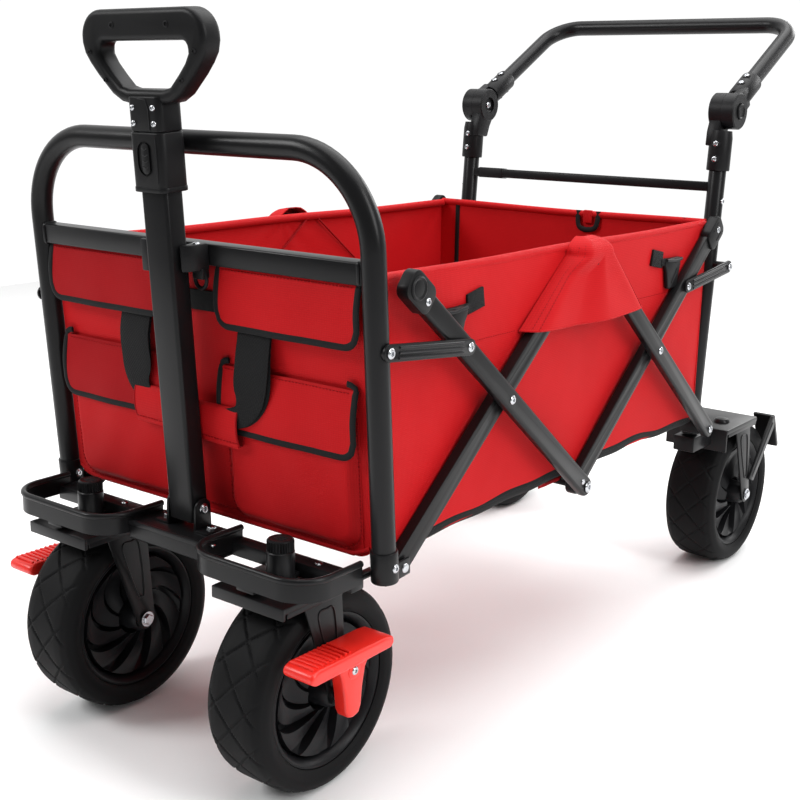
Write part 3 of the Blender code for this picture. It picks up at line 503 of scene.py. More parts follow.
def turning(profile: Sequence[Pair], axis: Axis, finish: Finish, steps: int = 64) -> Piece:
    """A closed profile of (radius, height) spun about an axis in edit mode.

    Args:
        profile: (radius, height) corners, in order.
        axis: the axis it turns about.
        finish: the finish it gets.
        steps: how many steps make the turn.

    Returns:
        The turned piece.
    """
    take()
    bpy.ops.mesh.primitive_circle_add(vertices=len(profile), radius=1.0, fill_type="NOTHING")
    obj = bpy.context.object
    for vertex, (radius, height) in zip(obj.data.vertices, profile):
        vertex.co = (radius, 0.0, height)
    bpy.ops.object.mode_set(mode="EDIT")
    bpy.ops.mesh.select_all(action="SELECT")
    bpy.ops.mesh.spin(steps=steps, angle=2 * math.pi, center=(0, 0, 0), axis=(0, 0, 1))
    bpy.ops.object.mode_set(mode="OBJECT")
    face_out(obj, 1e-5)
    remove_inner_faces(obj)
    obj.data.transform(axis.value)
    return paint(face_out(obj), finish)


def remove_inner_faces(obj: Piece) -> None:
    """Drops edges and faces that spinning a profile along its own axis leaves inside."""
    work = bmesh.new()
    work.from_mesh(obj.data)
    loose = [edge for edge in work.edges if not edge.link_faces]
    bmesh.ops.delete(work, geom=loose, context="EDGES")
    work.to_mesh(obj.data)
    work.free()


def tube(path: Sequence[Triple], radius: float, finish: Finish, sides: int = 28, closed: bool = False) -> Piece:
    """A round tube bent along points, with filled ends.

    Args:
        path: the points it passes through.
        radius: its radius.
        finish: the finish it gets.
        sides: how many sides it has.
        closed: the path is a ring.

    Returns:
        The tube.
    """
    take()
    curve = bpy.data.curves.new("tube", "CURVE")
    curve.dimensions = "3D"
    spline = curve.splines.new("POLY")
    spline.points.add(len(path) - 1)
    for point, place in zip(spline.points, path):
        point.co = (*place, 1.0)
    spline.use_cyclic_u = closed
    curve.bevel_depth, curve.bevel_resolution = radius, (sides - 4) // 2
    curve.use_fill_caps = True
    obj = bpy.data.objects.new("tube", curve)
    bpy.context.scene.collection.objects.link(obj)
    take(obj)
    bpy.ops.object.convert(target="MESH")
    return paint(face_out(bpy.context.object), finish)


def sweep(
    path: Sequence[Triple], section: Sequence[Pair], across: Triple, finish: Finish, closed: bool = False
) -> Piece:
    """A section carried along a flat path, mitred at its bends.

    Args:
        path: points that lie in one plane.
        section: closed outline of (across, outward) offsets.
        across: the unit normal of the path's plane.
        finish: the finish it gets.
        closed: the path is a ring.

    Returns:
        The swept piece, with a UV map in metres.
    """
    points, side = [Vector(p) for p in path], Vector(across).normalized()
    count, ring = len(points), len(section)
    verts: list[Vector] = []
    for i, point in enumerate(points):
        before = points[i - 1] if closed or i else None
        after = points[(i + 1) % count] if closed or i < count - 1 else None
        one = (point - before).normalized() if before is not None else (after - point).normalized()
        two = (after - point).normalized() if after is not None else one
        along = (one + two).normalized()
        normal = along.cross(side).normalized()
        mitre = 1.0 / max(along.dot(one), 0.5)
        verts += [point + side * s + normal * (h * mitre) for s, h in section]
    lengths, rims = running(points), running(section)
    uvs = [(lengths[i // ring], rims[i % ring]) for i in range(len(verts))]
    return from_points(verts, ring_faces(count, ring, closed), finish, uvs)


def cloth_sheet(
    shape: Callable[[float, float], Triple], across: int, along: int, size: Pair, finish: Finish,
    thickness: float = 0.0012, offset: float = 0.0, painted_shade_canvas: Finish | None = None,
) -> Piece:
    """A grid bent to a shape, given cloth's thickness and a UV map in metres.

    Args:
        shape: maps u and v, each from 0 to 1, to a point.
        across, along: how many squares each way.
        size: the cloth's flat width and length.
        finish: the finish of its face.
        thickness: how thick it is.
        offset: -1 to 1, the side that the thickness goes to.
        painted_shade_canvas: the finish of its back, if another.

    Returns:
        The sheet.
    """
    take()
    bpy.ops.mesh.primitive_grid_add(x_subdivisions=across, y_subdivisions=along, size=2.0)
    obj = bpy.context.object
    layer = obj.data.uv_layers.active or obj.data.uv_layers.new(name="UVMap")
    places = [((v.co.x + 1) / 2, (v.co.y + 1) / 2) for v in obj.data.vertices]
    for loop in obj.data.loops:
        u, v = places[loop.vertex_index]
        layer.data[loop.index].uv = (u * size[0], v * size[1])
    for vertex, (u, v) in zip(obj.data.vertices, places):
        vertex.co = shape(u, v)
    paint(obj, finish)
    if thickness:
        solid = obj.modifiers.new("Thickness", "SOLIDIFY")
        solid.thickness, solid.offset = thickness, offset
        # Where a second finish is given, the back gets the darker canvas: painted shade for faces turned into the
        # basket.
        if painted_shade_canvas is not None:
            obj.data.materials.append(material_for(painted_shade_canvas))
            solid.material_offset = 1
        apply_modifiers(obj)
    return obj


def moved(obj: Piece, at: Triple, turn: float = 0.0, about: str = "X") -> Piece:
    """Turns a piece about an axis and then moves it, in its mesh.

    Args:
        obj: the piece.
        at: how far it moves.
        turn: the angle in radians.
        about: the axis, X, Y or Z.

    Returns:
        The same piece.
    """
    obj.data.transform(Matrix.Translation(at) @ Matrix.Rotation(turn, 4, about))
    return obj


def left_handed(obj: Piece, side: int) -> Piece:
    """Mirrors a piece across the wagon if it is for the left side."""
    if side < 0:
        obj.data.transform(Matrix.Diagonal((-1, 1, 1, 1)))
        obj.data.flip_normals()
    return obj


def running(points: Sequence[Sequence[float]]) -> list[float]:
    """Each point's distance along its line."""
    lengths = [0.0]
    for a, b in zip(points, points[1:]):
        lengths.append(lengths[-1] + math.dist(a, b))
    return lengths


def ring_faces(rows: int, ring: int, closed: bool) -> list[tuple[int, ...]]:
    """The faces between rows of points that each run round a ring.

    Args:
        rows: how many rows there are.
        ring: how many points each row has.
        closed: the last row joins the first; otherwise both ends are filled.

    Returns:
        The faces, as indices of points.
    """
    faces: list[tuple[int, ...]] = []
    for i in range(rows if closed else rows - 1):
        j = (i + 1) % rows
        faces += [(i * ring + k, i * ring + (k + 1) % ring, j * ring + (k + 1) % ring, j * ring + k)
            for k in range(ring)]
    if not closed:
        faces += [tuple(range(ring))[::-1], tuple((rows - 1) * ring + k for k in range(ring))]
    return faces


def from_points(
    verts: Sequence[Sequence[float]], faces: Sequence[Sequence[int]], finish: "Finish", uvs: Sequence[Pair] = ()
) -> Piece:
    """A piece whose points were worked out in code.

    Args:
        verts: the points.
        faces: their faces.
        finish: the finish it gets.
        uvs: each point's place on its UV map, in metres.

    Returns:
        The piece, with its faces outwards.
    """
    mesh = bpy.data.meshes.new("shape")
    mesh.from_pydata([tuple(v) for v in verts], [], faces)
    obj = bpy.data.objects.new("shape", mesh)
    bpy.context.scene.collection.objects.link(obj)
    if uvs:
        layer = mesh.uv_layers.new(name="UVMap")
        for loop in mesh.loops:
            layer.data[loop.index].uv = uvs[loop.vertex_index]
    return paint(face_out(obj, SMALL_MERGE), finish)


def weld(*pieces: Piece) -> Piece:
    """Joins meshes into one object that keeps each one's finish."""
    take(pieces[0])
    for piece in pieces[1:]:
        piece.select_set(True)
    if len(pieces) > 1:
        bpy.ops.object.join()
    return bpy.context.object


def copied(obj: Piece, move: Matrix) -> Piece:
    """A copy with its own mesh, moved."""
    twin = obj.copy()
    twin.data = obj.data.copy()
    bpy.context.scene.collection.objects.link(twin)
    twin.data.transform(move)
    if move.determinant() < 0:
        twin.data.flip_normals()
    return twin


def settle(
    obj: Piece, name: str, place: Matrix, body: Body | str, slot: str, *nodes: str, smooth: float = 35.0
) -> Piece:
    """Names a finished piece, puts it in its place and lets it ride on its body.

    Args:
        obj: the piece, modelled about its place.
        name: the piece's name.
        place: the matrix from its place to the frame.
        body: the body that it rides on.
        slot: not used.
        nodes: the frame's nodes that it stands for.
        smooth: the angle under which faces shade smoothly.

    Returns:
        The piece.
    """
    obj.data.transform(place)
    obj.matrix_world = Matrix.Identity(4)
    obj.name = obj.data.name = name
    take(obj)
    bpy.ops.object.shade_smooth_by_angle(angle=math.radians(smooth))
    body = body.value if isinstance(body, Body) else body
    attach(obj, body)
    if nodes:
        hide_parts(*nodes)
    log.info("%s: %d faces on %s", name, len(obj.data.polygons), body)
    return obj


def fold_with_basket(obj: Piece) -> None:
    """Gives a piece of the side walls a mesh of its own."""
    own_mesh(obj)


# ---- outlines ----
def mm(*corners: Pair) -> list[Pair]:
    """Corners given in millimetres, as metres."""
    return [(a / 1000, b / 1000) for a, b in corners]


def arc(centre: Pair, radius: float, start: float, end: float, count: int) -> list[Pair]:
    """Points along an arc, with angles in degrees."""
    turns = [math.radians(start + (end - start) * i / count) for i in range(count + 1)]
    return [(centre[0] + radius * math.cos(t), centre[1] + radius * math.sin(t)) for t in turns]


def stadium(start: float, end: float, width: float, count: int = 10) -> list[Pair]:
    """A strip with round ends along the first axis."""
    half = width / 2
    return arc((start, 0), half, 270, 90, count) + arc((end, 0), half, 90, -90, count)


def rounded(low: Pair, high: Pair, radius: float, count: int = 5) -> list[Pair]:
    """A rectangle with rounded corners."""
    (a, b), (c, d) = low, high
    return (
        arc((c - radius, b + radius), radius, 270, 360, count)
        + arc((c - radius, d - radius), radius, 0, 90, count)
        + arc((a + radius, d - radius), radius, 90, 180, count)
        + arc((a + radius, b + radius), radius, 180, 270, count)
    )


def circle(centre: Pair, radius: float, count: int = 24) -> list[Pair]:
    """A ring of points."""
    return arc(centre, radius, 0, 360 - 360 / count, count - 1)


def eased(share: float) -> float:
    """A share from 0 to 1 with a gentle start and end."""
    share = min(max(share, 0.0), 1.0)
    return share * share * (3 - 2 * share)


def faced(obj: Piece, centre: Triple, toward: Triple) -> Piece:
    """Turns a piece made along +Z to face a way, and seats it."""
    turn = Vector(toward).to_track_quat("Z", "Y").to_matrix().to_4x4()
    obj.data.transform(Matrix.Translation(centre) @ turn)
    return obj


def rivet(centre: Triple, toward: Triple, radius: float = 0.0052, height: float = 0.0022, hollow: bool = True) -> Piece:
    """A domed rivet head, with a hollow like a tubular rivet's.

    Args:
        centre: the middle of its seat.
        toward: the way it faces.
        radius, height: its size.
        hollow: it has a hole in its middle.

    Returns:
        The rivet.
    """
    if hollow:
        core, rim = radius * 0.36, height
        profile = [(0.0, -0.0006), (radius, -0.0006), (radius, height * 0.35), (radius * 0.8, rim * 0.85)]
        profile += [(radius * 0.6, rim), (core * 1.15, rim * 0.92), (core, rim * 0.2), (0.0, rim * 0.15)]
    else:
        profile = [(0.0, -0.0006), (radius, -0.0006), (radius, height * 0.3), (radius * 0.86, height * 0.72)]
        profile += [(radius * 0.5, height * 0.97), (0.0, height)]
    head = turning(profile, Axis.Z, FINISHES.zinc, 20)
    return faced(head, centre, toward)


def screw_head(centre: Triple, toward: Triple, radius: float = 0.004) -> Piece:
    """A pan-head screw with a cross recess."""
    head = turning(
        [(0.0, -0.0006), (radius, -0.0006), (radius, 0.0008), (radius * 0.75, 0.0019), (0.0, 0.0022)],
        Axis.Z, FINISHES.zinc, 20,
    )
    for turn in (0.0, math.pi / 2):
        slit = block((-radius * 0.6, -0.0005, 0.001), (radius * 0.6, 0.0005, 0.004), 0.0, FINISHES.zinc)
        slit.data.transform(Matrix.Rotation(turn + 0.3, 4, "Z"))
        saw_out(head, slit)
    return faced(head, centre, toward)


# ---- front frame ----
@dataclass
class FrontHoop:
    """The round-tube hoop with its cross bar, foot ferrules, lugs and rivets."""

    half: float = 0.25
    top: float = 0.4297
    corner: float = 0.095
    bar_z: float = 0.3154
    link_z: float = 0.2402
    pivot: Pair = (0.0302, 0.0013)

    def frame_tube(self) -> Piece:
        """The bent tube."""
        bend = arc((self.half - self.corner, self.top - self.corner), self.corner, 0, 90, 18)
        right = [(self.half, 0.0), *bend]
        path = [(x, 0.0, z) for x, z in right] + [(-x, 0.0, z) for x, z in reversed(right)]
        return tube(path, TUBE_R, FINISHES.powder_coat, 32)

    def cross_bar(self) -> Piece:
        """The rectangular cross bar with its weld beads."""
        coat = FINISHES.powder_coat
        bar = block((-self.half, -0.009, self.bar_z - 0.0115), (self.half, 0.009, self.bar_z + 0.0115), 0.0022, coat, 3)
        beads = []
        for side in SIDES.values():
            x = side * (self.half - TUBE_R + 0.0004)
            ring = rounded((-0.0105, self.bar_z - 0.013), (0.0105, self.bar_z + 0.013), 0.005)
            beads.append(plate(ring, x - 0.0022, x + 0.0022, Axis.X, coat, 0.0015))
        return weld(bar, *beads)

    def fittings(self, side: int) -> Piece:
        """The ferrule, pivot lug, pin and link stud of one leg."""
        coat, steel = FINISHES.powder_coat, FINISHES.zinc
        y, z = self.pivot
        foot = dowel(0.0145, (side * self.half, 0, -0.002), (side * self.half, 0, 0.032), coat, 0.0012)
        lug = block((side * 0.2492, -0.002, z - 0.0095), (side * 0.2528, y + 0.0095, z + 0.0095), 0.0016, coat)
        pin = crosswise(PIN_R, side, 0.2358, 0.252, (y, z), steel)
        stud = crosswise(PIN_R, side, 0.257, 0.2676, (0, self.link_z), steel)
        boss = crosswise(0.0068, side, 0.256, 0.263, (0, self.link_z), coat, 0.0006)
        out = (side, 0, 0)
        heads = [
            rivet((side * 0.2675, 0, self.link_z), out, 0.0055),
            rivet((side * 0.2528, y, z), out, 0.0052, hollow=False),
            rivet((side * (self.half + 0.0142), 0, 0.015), out, 0.0046),
            rivet((side * (self.half - 0.0142), 0, 0.015), (-side, 0, 0), 0.0046),
        ]
        return weld(foot, lug, pin, stud, boss, *heads)

    def build(self) -> None:
        """Makes the hoop and lets it stand for its node."""
        whole = weld(self.frame_tube(), self.cross_bar(), *(self.fittings(side) for side in SIDES.values()))
        settle(whole, "hoop", FRONT, Body.FRONT, "black_frame", "front_hoop")


@dataclass
class HandleClip:
    """The clip on the cross bar that holds the pull handle, with its screw and hanging ring."""

    bar_z: float = 0.3154
    mouth: float = 0.0205
    back: float = -0.0093
    reach: float = -0.0365

    def build(self) -> None:
        """Makes the clip's base, arms, lips, screw and ring."""
        nylon = FINISHES.nylon
        low, high = self.bar_z - 0.0145, self.bar_z + 0.0125
        base = block((-0.027, self.back - 0.0042, low), (0.036, self.back, high), 0.0016, nylon)
        left = plate(
            [(-0.0205, self.back), (-0.0205, self.reach), (-0.0375, self.reach), (-0.0385, self.reach + 0.004),
             (-0.0255, self.reach + 0.006), (-0.0255, self.back)],
            low - 0.004, high + 0.003, Axis.Z, nylon, 0.0012,
        )
        right = plate(
            [(0.0205, self.back), (0.0205, self.reach + 0.004), (0.0235, self.reach - 0.001),
            (0.029, self.reach + 0.002),
             (0.0345, self.reach + 0.012), (0.0375, self.back)],
            low - 0.0005, high + 0.0005, Axis.Z, nylon, 0.002,
        )
        lug = block((0.0215, self.back - 0.012, low - 0.01), (0.0375, self.back - 0.001, low + 0.002), 0.002, nylon)
        ring_path = [(0.0295 + 0.0085 * math.cos(t), self.back - 0.007, low - 0.0105 + 0.0095 * math.sin(t))
                     for t in (math.tau * i / 28 for i in range(28))]
        ring = tube(ring_path, 0.0022, FINISHES.nylon, 12, closed=True)
        screw = screw_head((0.0295, self.back - 0.01, high), (0, 0, 1), 0.0042)
        settle(weld(base, left, right, lug, ring, screw), "clip", FRONT, Body.FRONT, "black_plastic", "handle_clip")


@dataclass
class Subframe:
    """The D-shaped strips with rolled rims, the rail, the channel and the handle's ears."""

    bottom: float = 0.2475
    top: float = 0.2735
    front: float = -0.105
    rail_back: float = -0.014
    rail_front: float = -0.034
    pivot: Pair = (-0.036, 0.287)

    def strip(self, side: int) -> Piece:
        """One D-shaped strip with its rolled upper rim."""
        near, far, radius = 0.064, BASKET_HALF - 0.002, 0.038
        ring = [(near, self.rail_back - 0.004),
            *arc((near + radius, self.front + 0.002 + radius), radius, 180, 270, 12)]
        ring += [*arc((far - radius, self.front + 0.002 + radius), radius, 270, 360, 12), (far, self.rail_back - 0.004)]
        path = [(side * x, y, 0.0) for x, y in ring]
        section = [(self.bottom + 0.001, -0.0018), (self.bottom, 0.0), (self.bottom + 0.001, 0.0018),
            (self.top - 0.0066, 0.0018)]
        section += [(self.top - 0.0035 + 0.0035 * math.cos(t), 0.0036 * math.sin(t))
                    for t in (math.radians(150 - 30 * i) for i in range(11))]
        section += [(self.top - 0.0066, -0.0018)]
        return sweep(path, section, (0, 0, 1), FINISHES.powder_coat)

    def ear(self, side: int) -> list[Piece]:
        """An ear that the handle's bolt goes through, with its foot flange."""
        y, z = self.pivot
        ring = [(y - 0.0125, 0.2595), (y + 0.0125, 0.2595), (y + 0.0115, z - 0.004), *arc((y, z), 0.0112, 0, 180, 14),
                (y - 0.0115, z - 0.004)]
        wall = plate(ring, side * 0.02, side * 0.0236, Axis.X, FINISHES.powder_coat, 0.0009)
        foot = block((side * 0.02, y - 0.0125, 0.259), (side * 0.042, y + 0.0125, 0.265), 0.0015, FINISHES.powder_coat)
        nut = turning(mm((0, 0), (5.2, 0), (5.2, 2), (4, 3.6), (0, 3.8)), Axis.Z, FINISHES.zinc, 6)
        return [wall, foot, moved(nut, (side * 0.0345, y + 0.001, 0.2648))]

    def build(self) -> None:
        """Makes the subframe and lets it stand for its node."""
        coat = FINISHES.powder_coat
        half = BASKET_HALF - 0.001
        parts = [
            block((-half, self.rail_front, 0.242), (half, self.rail_back, 0.2585), 0.0018, coat),
            block((-0.064, -0.068, 0.241), (0.064, self.rail_back - 0.001, 0.262), 0.0022, coat, 3),
            block((-0.066, -0.0695, 0.2575), (0.066, -0.0655, 0.264), 0.0014, coat),
        ]
        for side in SIDES.values():
            parts.append(self.strip(side))
            parts += self.ear(side)
            parts.append(block((side * (half - 0.0095), self.rail_front + 0.003, 0.2515), (side * half, 0.006, 0.258),
                0.001, coat))
            x = side * CASTER_X
            parts.append(block((x - 0.012, self.front + 0.002, 0.244), (x + 0.012, self.rail_front + 0.002, 0.249),
                0.001, coat))
            boss = mm((8.6, 241), (15, 241), (15, 273.5), (14, 274.5), (8.6, 274.5))
            parts.append(moved(turning(boss, Axis.Z, coat, 40), (x, -0.05, 0)))
            parts += [screw_head((x + step, -0.0245, 0.2585), (0, 0, 1), 0.0042) for step in (-0.03, 0.03)]
            parts.append(rivet((side * 0.069, -0.0665, 0.264), (0, 0, 1), 0.0036, 0.0014, False))
        settle(weld(*parts), "subframe", WAGON, Body.FRONT, "black_frame", "front_subframe")
        y, z = self.pivot
        heads = [rivet((side * 0.0238, y, z), (side, 0, 0), 0.006, 0.003) for side in SIDES.values()]
        bolt = dowel(PIN_R, (-0.0244, y, z), (0.0244, y, z), FINISHES.zinc)
        settle(weld(bolt, *heads), "handle_bolt", WAGON, Body.FRONT, "steel", "handle_pivot_pin")


# ---- pull handle ----
@dataclass
class PullHandle:
    """The telescoping handle: outer tube, collar, release button, inner tube and grip."""

    width: float = 0.038
    depth: float = 0.025
    collar: Pair = (0.346, 0.406)
    grip_base: float = 0.4063
    grip_half: float = 0.0905
    grip_depth: float = 0.026

    def outer_tube(self) -> None:
        """The rectangular tube with rounded corners and a hollow foot."""
        w, d = self.width / 2, self.depth / 2
        body = plate(rounded((-w, -d), (w, d), 0.0042), -0.015, 0.4, Axis.Z, FINISHES.powder_coat, 0.0005,
                     [rounded((-w + 0.002, -d + 0.002), (w - 0.002, d - 0.002), 0.0024)])
        settle(body, "outer_tube", HANDLE, Body.HANDLE, "black_frame", "handle_tube")

    def collar_piece(self) -> None:
        """The moulded collar with a recess round its button and a curved lower lip."""
        low, high = self.collar
        nylon = FINISHES.nylon
        w, d = self.width / 2 + 0.0003, self.depth / 2 + 0.0003
        bore = rounded((-w, -d), (w, d), 0.0042)
        shell = plate(rounded((-0.024, -0.018), (0.024, 0.018), 0.0085, 7), low, high, Axis.Z, nylon, 0.0016, [bore], 3)
        lip = plate(rounded((-0.0246, -0.0186), (0.0246, 0.0186), 0.009, 7), low, low + 0.0055, Axis.Z, nylon, 0.001,
            [bore])
        seat = rounded((-0.0118, 0.3625), (0.0118, 0.3975), 0.0117, 10)
        saw_out(shell, plate(seat, -0.03, -0.0165, Axis.Y, nylon))
        slot = rounded((-0.006, 0.364), (0.006, 0.396), 0.0059, 8)
        saw_out(shell, plate(slot, -0.03, -0.0124, Axis.Y, nylon))
        ridge = tube([(0.0158, -0.0178, 0.356), (0.0166, -0.0181, 0.366), (0.0168, -0.0181, 0.39),
            (0.016, -0.0178, 0.402)], 0.0008, nylon, 8)
        settle(weld(shell, lip, ridge), "collar", HANDLE, Body.HANDLE, "black_plastic", "handle_collar")

    def button(self) -> None:
        """The oval release button with chevron ridges."""
        nylon = FINISHES.nylon
        face = plate(rounded((-0.0056, 0.3645), (0.0056, 0.3955), 0.0055, 8), -0.0184, -0.016, Axis.Y, nylon, 0.0006)
        ridges = []
        for step in range(4):
            z = 0.37 + 0.0062 * step
            ridges.append(tube([(-0.004, -0.01835, z + 0.0022), (0.0, -0.0186, z), (0.004, -0.01835, z + 0.0022)],
                0.00055, nylon, 8))
        settle(weld(face, *ridges), "release", HANDLE, Body.RELEASE, "black_plastic", "release_button")

    def inner(self) -> None:
        """The sliding tube, with a row of lock holes on its front."""
        w, d = 0.0164, 0.0099
        body = plate(rounded((-w, -d), (w, d), 0.0024), 0.012, 0.4245, Axis.Z, FINISHES.zinc, 0.0004)
        for step in range(3):
            hole = circle((0.0, 0.3 - 0.09 * step), 0.003, 16)
            saw_out(body, plate(hole, -0.012, -0.0085, Axis.Y, FINISHES.zinc))
        settle(body, "slider", HANDLE, Body.SLIDER, "black_frame", "inner_tube")

    def grip(self) -> None:
        """The moulded grip: a rounded D loop on a socket, in two shells with screws."""
        nylon = FINISHES.nylon
        bottom = self.grip_base + 0.029
        top = bottom + 0.09
        half, r = self.grip_half, 0.028
        right = [(0.025, bottom - 0.002), (0.037, bottom + 0.0), (0.05, bottom + 0.007), (0.07, bottom + 0.0255)]
        right += [(half - 0.01, bottom + 0.037), (half - 0.003, bottom + 0.047), (half, bottom + 0.058)]
        right += arc((half - r, top - r), r, 8, 90, 8)
        outer = right + [(-x, z) for x, z in reversed(right)]
        roof = top - 0.031
        inner_right = [(0.026, bottom + 0.0125), (0.036, bottom + 0.015), (0.05, bottom + 0.028),
            (0.0595, bottom + 0.038), (0.065, bottom + 0.047)]
        inner_right += arc((0.0565, roof - 0.0085), 0.0085, 0, 90, 4)
        opening = inner_right + [(-x, z) for x, z in reversed(inner_right)]
        d = self.grip_depth / 2
        loop = plate(outer, -d, d, Axis.Y, nylon, 0.0085, [opening], 5)
        socket = plate(rounded((-0.024, -0.0165), (0.024, 0.0165), 0.0075, 7), self.grip_base, bottom + 0.006, Axis.Z,
            nylon, 0.0016, segments=3)
        saw_out(socket, block((-0.0168, -0.0102, 0.38), (0.0168, 0.0102, 0.4248), 0.0, nylon))
        neck = [(-0.0235, bottom - 0.001), (0.0235, bottom - 0.001), (0.0315, bottom + 0.0095),
            (-0.0315, bottom + 0.0095)]
        yoke = plate(neck, -d + 0.0004, d - 0.0004, Axis.Y, nylon, 0.0045, segments=3)
        parts = [loop, socket, yoke]
        # The raised line where the lower shell meets the upper one.
        line = [(-0.006, bottom + 0.004), (0.005, bottom + 0.003), (0.0085, bottom - 0.006), (0.0085, bottom - 0.027)]
        parts.append(tube([(x, -0.0165, z) for x, z in line], 0.0009, nylon, 8))
        for x in (-0.015, 0.015):
            for z in (bottom - 0.0205, bottom - 0.005):
                parts.append(screw_head((x, -0.0164, z), (0, -1, 0), 0.0032))
        for x, z in ((-0.0765, bottom + 0.049), (0.0765, bottom + 0.049), (-0.056, bottom + 0.0215),
                (0.056, bottom + 0.0215)):
            parts.append(paint(screw_head((x, -d + 0.0002, z), (0, -1, 0), 0.0026), nylon))
        for x in (-0.04, 0.04):
            dimple = turning(mm((0, -1), (3.4, -1), (3.4, 0.5), (2.2, 0.7), (1.8, 0), (0, 0)), Axis.Z, nylon, 16)
            parts.append(moved(dimple, (x, -d, top - 0.0155), math.pi / 2))
        settle(weld(*parts), "grip", HANDLE, Body.SLIDER, "black_plastic", "handle_grip", smooth=50)

    def build(self) -> None:
        """Makes the five pieces of the handle."""
        self.outer_tube()
        self.collar_piece()
        self.button()
        self.inner()
        self.grip()


# ---- wheels and casters ----
@dataclass
class Wheel:
    """A wide treaded tyre on a dished rim with swirling vanes."""

    half: float = 0.041
    rim_r: float = 0.086
    hub_r: float = 0.018
    hub_half: float = 0.0455
    vanes: int = 9
    steps: int = 640

    def tyre_radius(self, s: float) -> Pair:
        """The tyre's (radius, height) at a share s from one bead round to the other."""
        seat = self.rim_r + 0.0004
        marks = [(seat, -0.036), (seat + 0.004, -0.0395), (seat + 0.011, -self.half),
            (WHEEL_R - 0.0125, -self.half + 0.0006),
                 (WHEEL_R - 0.0055, -self.half + 0.0045), (WHEEL_R - 0.0012, -self.half + 0.012),
                 (WHEEL_R, -self.half + 0.021)]
        marks += [(r, -h) for r, h in reversed(marks)]
        lengths = running(marks)
        at = s * lengths[-1]
        for i in range(len(marks) - 1):
            if at <= lengths[i + 1] or i == len(marks) - 2:
                t = (at - lengths[i]) / (lengths[i + 1] - lengths[i])
                return marks[i][0] * (1 - t) + marks[i + 1][0] * t, marks[i][1] * (1 - t) + marks[i + 1][1] * t
        return marks[-1]

    def groove(self, angle: float, height: float) -> float:
        """How deep the tread is cut at a place: slanting grooves both ways round big blocks."""
        around = angle * WHEEL_R
        depth = 0.0
        for lean_way in (-1, 1):
            across = (around + lean_way * height * 1.1) / (math.tau * WHEEL_R) * 15
            near = abs(across - round(across)) * (math.tau * WHEEL_R / 15) * 0.67
            depth = max(depth, 1 - eased((near - 0.0006) / 0.0011))
        return depth * 0.0014

    def tyre(self) -> Piece:
        """The tyre with its tread, as a ring of profiles."""
        profile_count = 58
        profile = [self.tyre_radius(i / (profile_count - 1)) for i in range(profile_count)]
        verts = []
        for i in range(self.steps):
            angle = math.tau * i / self.steps
            for radius, height in profile:
                edge = eased((self.half - abs(height) - 0.003) / 0.01)
                on_tread = edge if radius > WHEEL_R - 0.01 else 0.0
                cut = radius - self.groove(angle, height) * on_tread
                # The tyre gives a little where it stands, so its foot is flat on the ground.
                down = -math.cos(angle)
                if down > 0 and cut * down > AXLE_Z:
                    cut = AXLE_Z / down
                verts.append((height, cut * math.sin(angle), cut * math.cos(angle)))
        return from_points(verts, ring_faces(self.steps, profile_count, True), FINISHES.tyre)

    def vane_height(self, share: float, phase: float) -> float:
        """The dish's height at a share of the way out and a share of the way across one vane."""
        crest = 0.0285 + 0.003 * share - 0.0075 * math.sin(math.pi * share) ** 1.3
        drop = 0.0135 * math.sin(math.pi * min(1.0, max(0.0, (share - 0.02) / 0.93))) ** 0.55
        if phase < 0.3:
            return crest - drop * (1 - 0.12 * phase / 0.3)
        slope = (phase - 0.3) / 0.7
        return crest - drop * (0.42 * (1 - slope) ** 1.4)

    def vane_ring(self) -> Piece:
        """Both faces of the vanes as one closed ring: broad curved blades with deep slots between."""
        inner, outer, swirl = 0.0205, 0.0768, math.radians(60)
        marks = (0.0, 0.04, 0.27, 0.3, 0.34, 0.52, 0.76, 0.96)
        rows = 17
        verts = []
        profile = [(row / (rows - 1), face) for face in (-1, 1)
            for row in (range(rows) if face < 0 else range(rows - 1, -1, -1))]
        steps = self.vanes * len(marks)
        for i in range(steps):
            vane, mark = divmod(i, len(marks))
            for share, face in profile:
                radius = inner + (outer - inner) * share
                turn = math.tau * (vane + marks[mark]) / self.vanes + swirl * share ** 1.3
                # The slots narrow towards the hub, so the blades look broad there.
                narrow = 0.55 + 0.45 * share
                phase = marks[mark] if marks[mark] > 0.3 else marks[mark] * narrow
                turn += math.tau / self.vanes * (phase - marks[mark])
                height = self.vane_height(share, marks[mark])
                if share in (0.0, 1.0):
                    height = 0.012
                verts.append((face * height, radius * math.sin(turn), radius * math.cos(turn)))
        return from_points(verts, ring_faces(steps, len(profile), True), FINISHES.rim)

    def rim(self) -> Piece:
        """The rim: a dish, a raised outer ring, the hub and the vanes on both faces."""
        web, ring = 0.0105, self.rim_r
        side = [(0.0054, -self.hub_half + 0.0004), (0.0135, -self.hub_half + 0.0004), (0.0165, -self.hub_half + 0.004),
                (self.hub_r, -0.03), (self.hub_r + 0.003, -web), (0.0755, -web), (0.0765, -0.026), (0.079, -0.03),
                (0.0815, -0.034), (0.0835, -0.0352), (ring - 0.0004, -0.035)]
        profile = side + [(r, -h) for r, h in reversed(side)]
        return weld(turning(profile, Axis.X, FINISHES.rim, 96), self.vane_ring())

    def build_all(self) -> None:
        """Makes one wheel, and copies it to the four axles."""
        tyre, rim = self.tyre(), self.rim()
        places = {
            f"{end}_{tag}": (lean((side * x, y, AXLE_Z)), f"{end}_wheel_{tag}")
            for tag, side in SIDES.items()
            for end, x, y in (("front", CASTER_X, -0.014), ("rear", REAR_WHEEL_X, REAR_AXLE_Y))
        }
        for key, (place, body) in places.items():
            settle(copied(tyre, Matrix.Identity(4)), f"tread_{key}", place, body, "tyre_rubber", f"tyre_{key}",
                smooth=28)
            settle(copied(rim, Matrix.Identity(4)), f"wheel_centre_{key}", place, body, "rim_plastic", f"rim_{key}")
        bpy.data.objects.remove(tyre, do_unlink=True)
        bpy.data.objects.remove(rim, do_unlink=True)


